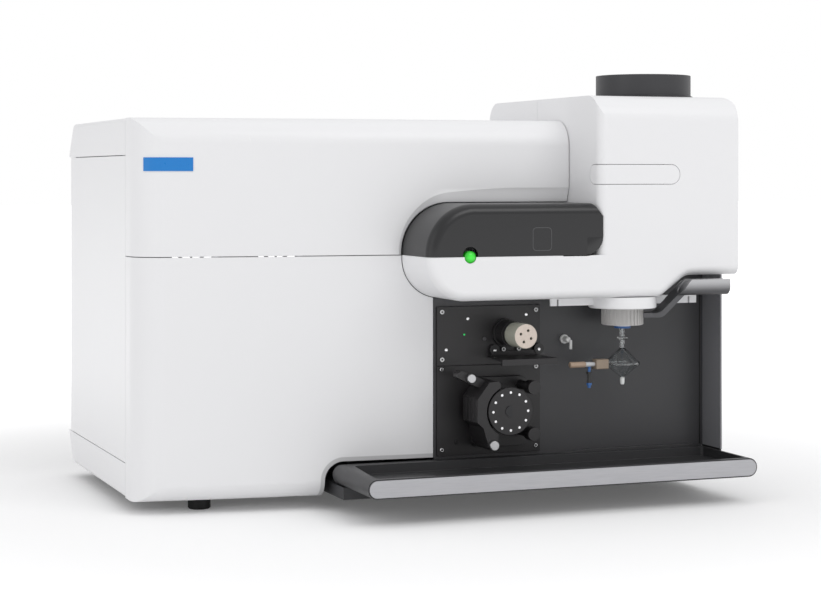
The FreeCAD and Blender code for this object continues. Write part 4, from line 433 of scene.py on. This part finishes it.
# Painted shade: the knob and thumb screw are the bright steel painted darker, to dim its reflection
# of the white room.
KNOB_PAINTED_DARKER = metal("turned_knob_painted_shade", (0.50, 0.50, 0.51), 0.34, 500, 0.00004)
STEEL.slot = KNOB_PAINTED_DARKER.slot = "bright_steel"
paint(["plate_screws", "pump_rollers", "flap_hinge_pins"], BRIGHT)
paint(["shoe_pivot_knob", "thumb_screw"], KNOB_PAINTED_DARKER)
paint(["pump_shaft"], STEEL)
paint(["tray_trim"], TRIM)
paint(["loader_handle"], SATIN)
paint(["inner_frame", "rear_panel", "fan_frames"], ZINC)
paint(["gas_inlets"], BRASS)
paint(["optics_bench", "detector_camera", "plasma_source"], CASTING)
paint(["bench_mirrors", "diffraction_grating"], OPTIC)
paint(["power_supply"], CASE)
paint(["data_sockets"], SOCKET)

# %% [markdown]
# The small coloured parts: pale machined polymer on the valve, tan polymer on the nebulizer, blue
# fittings, a grey ribbed collar, and a green board with its solder mask.

# %% Plastics
def plastic(name, shade, gloss, grain, depth, spread=0.08):
    """Plastic whose tone varies a little, at a given scale per metre."""
    finish = Finish(name, roughness=gloss)
    tone = finish.noise(grain, 4)
    deep = tuple(part * (1 - spread * 2) for part in shade)
    finish.set("Base Color", finish.blend(tone, shade, deep))
    finish.set("Roughness", tone * 0.14 + (gloss - 0.07))
    finish.relief(tone, 0.2, depth)
    return finish


PALE = plastic("pale_polymer", (0.71, 0.615, 0.54), 0.42, 300, 0.00003)
# Painted shade: behind its front face the valve head is painted greenish grey, as its sides turned
# from the light.
painted_shade_behind_front = PALE.axis("Y") > at(0, 24.6, 0).y
PALE.tint(painted_shade_behind_front, (0.38, 0.38, 0.32))
TAN = plastic("tan_polymer", (0.41, 0.297, 0.216), 0.38, 400, 0.00003)
stem = abs(TAN.axis("X") - at(680, 0, 0).x) < 0.0075
TAN.tint(stem, (0.52, 0.53, 0.54))
NUT = plastic("tan_nut", (0.30, 0.235, 0.175), 0.38, 400, 0.00003)
NUT.slot = "tan_polymer"
RIBBED = plastic("ribbed_grey", (0.52, 0.51, 0.50), 0.45, 900, 0.00005)
BOARD = plastic("circuit", (0.02, 0.14, 0.07), 0.35, 150, 0.00002, 0.2)
paint(["valve_head"], PALE)
paint(["nebulizer"], TAN)
paint(["nebulizer_nut"], NUT)
paint(["loader_collar"], RIBBED)
paint(["control_board"], BOARD)

# %% [markdown]
# Four small fittings share one node. The torch's seal and the ends of the gas side arm are blue,
# the arm's ribbed middle is black, the drain union at the back is off-white, and the drain spout
# under the chamber is white.

# %% Fittings
BLUE = plastic("blue_fitting", (0.027, 0.12, 0.36), 0.35, 600, 0.00003)
ribbed_middle = abs(BLUE.axis("Z") - at(0, 0, 190.8).z) < 0.0085
BLUE.tint(ribbed_middle, (0.012, 0.012, 0.012))
drain_union = BLUE.axis("Y") > at(0, 84, 0).y
BLUE.tint(drain_union, (0.70, 0.70, 0.69))
torch_side = BLUE.axis("X") > at(700, 0, 0).x
below_collar = BLUE.axis("Z") < at(0, 0, 255).z
BLUE.tint(torch_side * below_collar, (0.78, 0.79, 0.78))
paint(["sample_fittings"], BLUE)

# %% [markdown]
# Glass is clear with a faint grey edge. The button is lit from within, and a painted highlight
# makes it brightest in the middle of its dome, deeper green towards its rim.

# %% Glass and lit plastic
def glass(name, shade):
    """Thin clear glass with faint smears."""
    finish = Finish(name, base_color=shade, ior=1.18, coat_weight=0.6)
    finish.set("Transmission Weight", 1.0)
    smear = finish.noise(60, 3)
    finish.set("Roughness", smear * 0.03 + 0.02)
    return finish


CLEAR = glass("clear_glass", (0.95, 0.97, 0.97))
SMOKED = glass("dark_glass", (0.05, 0.05, 0.06))
paint(["spray_chamber", "quartz_torch"], CLEAR)
paint(["viewing_window"], SMOKED)

GREEN = Finish("green_lens", roughness=0.2)
BUTTON, BUTTON_RADIUS = at(462, 0, 379), 0.009
from_middle = (GREEN.axis("X") - BUTTON.x) ** 2 + (GREEN.axis("Z") - BUTTON.z) ** 2
# Painted highlight: base colour and glow are lighter at the dome's middle, darker towards its rim.
painted_highlight_fade = GREEN.ramp(from_middle, 0.0, BUTTON_RADIUS ** 2, smooth=False)
GREEN.set("Base Color", GREEN.blend(painted_highlight_fade, (0.05, 0.65, 0.05), (0.01, 0.30, 0.01)))
GREEN.set("Emission Color", GREEN.blend(painted_highlight_fade, (0.03, 0.62, 0.03), (0.0, 0.16, 0.0)))
GREEN.set("Emission Strength", 0.45)
GREEN.relief(GREEN.noise(500, 2), 0.1, 0.00003)
paint(["power_button"], GREEN)

# %% [markdown]
# ## Working on pieces
# Most solids already have the right shape and only want a maker's last touch: edges broken by
# half a millimetre, so that they catch the light, and smooth shading between facets. The
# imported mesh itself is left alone. A copy has its loose triangles joined and its flat faces made
# whole, then a Bevel modifier breaks the sharp edges, and the copy stands for the solid.

# %% Selecting and finishing
def alone(piece):
    """Make a piece the only one that operators act on."""
    bpy.ops.object.select_all(action="DESELECT")
    piece.select_set(True)
    bpy.context.view_layer.objects.active = piece


def editing(piece, on=True):
    """Enter or leave edit mode on a piece."""
    if on:
        alone(piece)
    bpy.ops.object.mode_set(mode="EDIT" if on else "OBJECT")


def change(piece, kind, **settings):
    """Add a modifier with its settings and apply it."""
    alone(piece)
    modifier = piece.modifiers.new(kind.lower(), kind)
    for label, value in settings.items():
        setattr(modifier, label, value)
    bpy.ops.object.modifier_apply(modifier=modifier.name)


def complete(piece, name, finish, body="case", smooth=35):
    """Give a piece its place, name and finish, and let it ride on a body."""
    alone(piece)
    bpy.ops.object.transform_apply(location=True, rotation=True, scale=True)
    bpy.ops.object.shade_smooth_by_angle(angle=math.radians(smooth))
    piece.name = name
    piece.data.materials.clear()
    piece.data.materials.append(finish.material)
    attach(piece, body)
    return piece


# %% Broken edges
def dress(node, edge, smooth):
    """Stand a copy with broken edges, in millimetres, in for a CAD node."""
    source = NODES[node]
    piece = bpy.data.objects.new(node + "_dressed", source.data.copy())
    bpy.context.scene.collection.objects.link(piece)
    editing(piece)
    bpy.ops.mesh.select_all(action="SELECT")
    bpy.ops.mesh.remove_doubles(threshold=1e-6)
    bpy.ops.mesh.dissolve_limited(angle_limit=math.radians(0.3))
    editing(piece, False)
    bpy.ops.mesh.customdata_custom_splitnormals_clear()
    change(piece, "BEVEL", width=edge / 1000, segments=2, limit_method="ANGLE",
           angle_limit=math.radians(32), use_clamp_overlap=True)
    finish = FINISHES[source.data.materials[0].name]
    complete(piece, node + "_dressed", finish, source["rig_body"], smooth)
    change(piece, "WEIGHTED_NORMAL", keep_sharp=True)
    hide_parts(node)
    return piece


DRESSED = {
    "upper_front_cover": 0.8, "lower_front_cover": 0.8, "roof_cover": 0.8, "base_skirt": 0.8,
    "left_side_panel": 0.8, "right_side_panel": 0.6, "torch_front_cover": 0.8,
    "torch_rear_cover": 0.8, "window_flap": 0.5, "torch_bracket": 0.8, "indicator_band": 0.6,
    "exhaust_collar": 0.5, "compartment_panel": 0.3, "compartment_wall": 0.6, "front_tray": 0.8,
    "tray_trim": 0.4, "valve_plate": 0.5, "pump_plate": 0.5, "pump_head": 0.8,
    "pump_rotor": 0.4, "pressure_shoe": 1.0, "tension_block": 0.8, "thumb_screw": 0.3,
    "shoe_pivot_knob": 0.3, "valve_actuator": 0.4, "valve_head": 0.4, "valve_bracket": 0.7,
    "loader_handle": 0.8, "loader_collar": 0.3, "nebulizer_nut": 0.3, "nebulizer": 0.15,
    "sample_fittings": 0.2, "levelling_feet": 0.5, "rear_panel": 0.3, "fan_frames": 0.5,
    "mains_inlet": 0.3, "mains_rocker": 0.4, "gas_inlets": 0.3, "data_sockets": 0.2,
}
SMOOTH = {"upper_front_cover": 16}
for node, edge in DRESSED.items():
    piece = dress(node, edge, SMOOTH.get(node, 35))
    print(node, "has", len(piece.data.polygons), "faces")

# %% [markdown]
# ## Small pieces
# Fasteners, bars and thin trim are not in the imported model. Round ones are turned, as on a lathe:
# a single corner is extruded point by point into half a section, and the section is spun about
# its axis. Its points are radius and height in millimetres. What repeats is turned once and copied.

# %% Turned pieces
FACING = {"front": (90, 0, 0), "up": (0, 0, 0)}


def turned(name, finish, section, place, facing="front", steps=32, edge=0.1):
    """Spin half a section and set its foot at a place of the drawing."""
    points = [Vector((radius, 0, height)) / 1000 for radius, height in section]
    bpy.ops.object.select_all(action="DESELECT")
    bpy.ops.mesh.primitive_plane_add(size=0.001)
    piece = bpy.context.object
    editing(piece)
    bpy.ops.mesh.merge(type="CENTER")
    bpy.ops.transform.translate(value=points[0])
    for last, point in zip(points, points[1:]):
        bpy.ops.mesh.extrude_vertices_move(TRANSFORM_OT_translate={"value": point - last})
    bpy.ops.mesh.select_all(action="SELECT")
    bpy.ops.mesh.spin(steps=steps, angle=math.tau, center=(0, 0, 0), axis=(0, 0, 1))
    bpy.ops.mesh.select_all(action="SELECT")
    bpy.ops.mesh.remove_doubles(threshold=1e-6)
    bpy.ops.mesh.normals_make_consistent(inside=False)
    editing(piece, False)
    if edge:
        change(piece, "BEVEL", width=edge / 1000, segments=2, limit_method="ANGLE",
               angle_limit=math.radians(35), use_clamp_overlap=True)
    piece.rotation_euler = [math.radians(turn) for turn in FACING[facing]]
    piece.location = at(*place)
    return complete(piece, name, finish)


FIRSTS = {}


def repeat(kind, number, finish, section, place, **how):
    """Turn the first piece of a kind, and copy it, with a mesh of its own, for the others."""
    name = "%s_%d" % (kind, number)
    if kind not in FIRSTS:
        FIRSTS[kind] = turned(name, finish, section, place, **how), place
        return
    first, start = FIRSTS[kind]
    twin = first.copy()
    twin.data = first.data.copy()
    bpy.context.scene.collection.objects.link(twin)
    twin.location = at(*place) - at(*start)
    complete(twin, name, finish)


# %% [markdown]
# Flat pieces are bars: a cube between two corners of the drawing, with its edges rounded.

# %% Bars
def bar(name, finish, low, high, edge):
    """A block between two corners of the drawing, its edges rounded by some millimetres."""
    middle = [(a + b) / 2 for a, b in zip(low, high)]
    bpy.ops.object.select_all(action="DESELECT")
    bpy.ops.mesh.primitive_cube_add(size=1, location=at(*middle))
    piece = bpy.context.object
    piece.scale = [(b - a) / 1000 for a, b in zip(low, high)]
    bpy.ops.object.transform_apply(location=False, rotation=False, scale=True)
    change(piece, "BEVEL", width=edge / 1000, segments=3, limit_method="ANGLE",
           use_clamp_overlap=True)
    print(name, [round(v, 4) for v in piece.dimensions])
    complete(piece, name, finish)


def upright_plane(low, high, depth):
    """A plane that faces the front, between two corners (x, z) of the drawing."""
    (left, bottom), (right, top) = low, high
    bpy.ops.object.select_all(action="DESELECT")
    bpy.ops.mesh.primitive_plane_add(size=1, rotation=(math.radians(90), 0, 0),
                                     location=at((left + right) / 2, depth, (bottom + top) / 2))
    piece = bpy.context.object
    piece.scale = ((right - left) / 1000, (top - bottom) / 1000, 1)
    bpy.ops.object.transform_apply(location=True, rotation=True, scale=True)
    return piece


# %% [markdown]
# A plain blue bar lies on the upper cover, near its left end. The cover is bowed there, so the bar
# starts as a fine upright grid, is projected back onto the cover, and gets a wall.

# %% Blue bar
BADGE = plastic("badge_blue", (0.004, 0.21, 0.62), 0.30, 300, 0.00002, 0.03)
BADGE.slot = "blue_fitting"
bpy.ops.mesh.primitive_grid_add(x_subdivisions=46, y_subdivisions=14, size=1,
                                location=at(48.5, 60, 515), rotation=(math.radians(90), 0, 0))
badge = bpy.context.object
badge.scale = (0.069, 0.020, 1)
bpy.ops.object.transform_apply(location=True, rotation=True, scale=True)
change(badge, "SHRINKWRAP", target=bpy.data.objects["upper_front_cover_dressed"],
       wrap_method="PROJECT", use_project_y=True, use_positive_direction=True,
       use_negative_direction=False, offset=0.0)
change(badge, "SOLIDIFY", thickness=0.0012, offset=1)
change(badge, "BEVEL", width=0.0003, segments=2, limit_method="ANGLE")
complete(badge, "badge_bar", BADGE)
print("blue bar", [round(v, 4) for v in badge.dimensions])

# %% [markdown]
# A thin rounded square groove marks the dark band, right of the middle. Its lit edge is a painted
# highlight, a lighter grey copy of the band's plastic: a plane with its corners bevelled and its
# middle taken out.

# %% Band outline
GROOVE_HIGHLIGHT = plastic("groove_highlight_grey", (0.10, 0.10, 0.105), 0.30, 400, 0.00001)
GROOVE_HIGHLIGHT.slot = "black_band"
BAND_FRONT = -0.05
outline = upright_plane((562, 386.95), (593, 421.45), BAND_FRONT)
editing(outline)
bpy.ops.mesh.select_all(action="SELECT")
bpy.ops.mesh.bevel(offset=0.006, segments=10, affect="VERTICES")
bpy.ops.mesh.select_all(action="SELECT")
bpy.ops.mesh.inset(thickness=0.0007, depth=0)
bpy.ops.mesh.delete(type="FACE")
editing(outline, False)
change(outline, "SOLIDIFY", thickness=0.0003, offset=0)
complete(outline, "band_outline", GROOVE_HIGHLIGHT)
print("band outline", [round(v, 4) for v in outline.dimensions])

# %% [markdown]
# The plates' screws have a six-sided socket, whose shade is painted as a dark cap, and four of them
# a white ring round it, as have two on the valve's bracket. The rivets are low bright domes.

# %% Screws and rivets
# Painted shade: this black stands for the shade in screw sockets, slots and gaps; the odd dark
# screw is dark itself.
HOLE = dark("socket_shade_and_black", (0.006, 0.006, 0.006), 0.5, 1500, 0.00003)
HOLE.slot = "black_plate"
RIM = plastic("rim_white", (0.80, 0.80, 0.80), 0.35, 500, 0.00002)
RIM.slot = "white_shell"
SOCKET_SECTION = [(0, 0), (1.2, 0), (1.5, 0.2), (1.3, 0.3), (1.0, 0.1), (0, 0.05)]
RING_SECTION = [(1.4, 0), (3.4, 0), (3.4, 0.35), (3.1, 0.55), (1.7, 0.55), (1.4, 0.3), (1.4, 0)]
RIVET_SECTION = [(0, -0.2), (2.6, -0.2), (2.6, 0.5), (2.3, 0.9), (1.4, 1.1), (0, 1.15)]
PLATE_SCREWS = [(457.6, 100, 292.4), (613.1, 100, 292.4), (457.6, 100, 220.5),
                (457.6, 100, 205.5), (613.1, 100, 205.5), (457.6, 100, 84.0),
                (613.1, 100, 84.0)]
RINGED = (1, 2, 3, 5)
BRACKET_SCREWS = [(557.6, 97, 233.7), (582.9, 97, 233.7)]
RIVETS = [(500.3, 102, 281.2), (597, 102, 285.4), (464.9, 102, 234.8), (542.0, 95, 232.0),
          (615.5, 95, 232.0)]
for number, place in enumerate(PLATE_SCREWS, 1):
    repeat("screw_socket", number, HOLE, SOCKET_SECTION, place, steps=6, edge=0)
    if number in RINGED:
        repeat("screw_ring", number, RIM, RING_SECTION, place)
for number, place in enumerate(BRACKET_SCREWS, 1):
    repeat("bracket_screw_ring", number, RIM, RING_SECTION, place)
    repeat("bracket_screw_socket", number, HOLE, SOCKET_SECTION, place, steps=6, edge=0)
for number, place in enumerate(RIVETS, 1):
    repeat("rivet", number, BRIGHT, RIVET_SECTION, place)
print(len(PLATE_SCREWS), "plate screws,", len(BRACKET_SCREWS), "bracket screws,", len(RIVETS),
      "rivets")

# %% [markdown]
# A small green lamp shows by the valve, and two odd screws sit on the plates.

# %% Lamp and odd screws
LAMP = Finish("green_lamp", base_color=(0.02, 0.40, 0.08), roughness=0.2)
LAMP.set("Emission Color", LAMP.blend(LAMP.noise(300, 2), (0.02, 0.5, 0.1), (0.05, 0.8, 0.2)))
LAMP.set("Emission Strength", 0.5)
LAMP.slot = "green_lens"
turned("valve_lamp", LAMP, [(0, -0.2), (1.5, -0.2), (1.5, 0.5), (1.0, 1.2), (0, 1.5)],
       (494.4, 102, 257.2))
turned("grey_screw", SATIN, [(0, -0.2), (3, -0.2), (3, 1.6), (2.6, 2), (0.9, 2), (0.9, 1.2),
                             (0, 1.2)], (527.4, 102, 250.0))
turned("dark_screw", HOLE, [(0, -0.2), (2.8, -0.2), (2.8, 1.4), (2.4, 1.8), (0.9, 1.8),
                            (0.9, 1.0), (0, 1.0)], (481.0, 102, 94.4))
print("lamp and two screws")

# %% [markdown]
# A black strip is painted shadow in the gap where the compartment's back meets the right wall, a
# black bar is painted shade in the slot at each end of its torch bracket, a short tube hangs from
# the drain union, and a dark foot closes the wedge under the right wall.

# %% Gaps and slots
SLOT_WIDTH = 2.4
# Painted shadow: a black strip stands in the gap between the back and the right wall.
bar("panel_gap_shadow", HOLE, (900.4, 105.6, 72), (902.6, 106.1, 312), 0.2)
# Painted shade: black bars stand in for the shade in the bracket's slots.
for side, x in (("left", 645.2), ("right", 851.5)):
    bar("bracket_slot_" + side, HOLE, (x, 104.9, 300.2), (x + SLOT_WIDTH, 105.9, 307.2), 0.3)
turned("drain_tube", RIM, [(0, 0), (1.9, 0), (2.2, 0.6), (2.2, 13.4), (1.9, 14), (0, 14)],
       (665.6, 86.8, 231.0), "up")
bar("wall_foot", HOLE, (906.4, 51, 62), (909.6, 107.5, 71), 0.4)
print("gaps, slots and drain tube")

# %% [markdown]
# The band's lower right corner is filled out to its full round by a plane with one rounded corner,
# drawn out into a block flush with the band. The rounding stops a hundredth of a millimetre short
# of the plane's other corners, and is then joined to them.

# %% Band corner
LEFT, TOP, ROUND = 651, 406.5, 26.6
filling = upright_plane((LEFT, TOP - ROUND), (LEFT + ROUND, TOP), BAND_FRONT)
editing(filling)
bpy.ops.mesh.select_all(action="DESELECT")
editing(filling, False)
lower_right = max(filling.data.vertices, key=lambda corner: corner.co.x - corner.co.z)
lower_right.select = True
editing(filling)
bpy.ops.mesh.bevel(offset=(ROUND - 0.01) / 1000, segments=16, affect="VERTICES")
bpy.ops.mesh.select_all(action="SELECT")
bpy.ops.mesh.remove_doubles(threshold=1e-4)
bpy.ops.mesh.extrude_region_move(TRANSFORM_OT_translate={"value": (0, 0.006, 0)})
bpy.ops.mesh.select_all(action="SELECT")
bpy.ops.mesh.normals_make_consistent(inside=False)
editing(filling, False)
change(filling, "BEVEL", width=0.0006, segments=2, limit_method="ANGLE")
complete(filling, "band_corner", BAND)
print("band corner", [round(v, 4) for v in filling.dimensions])
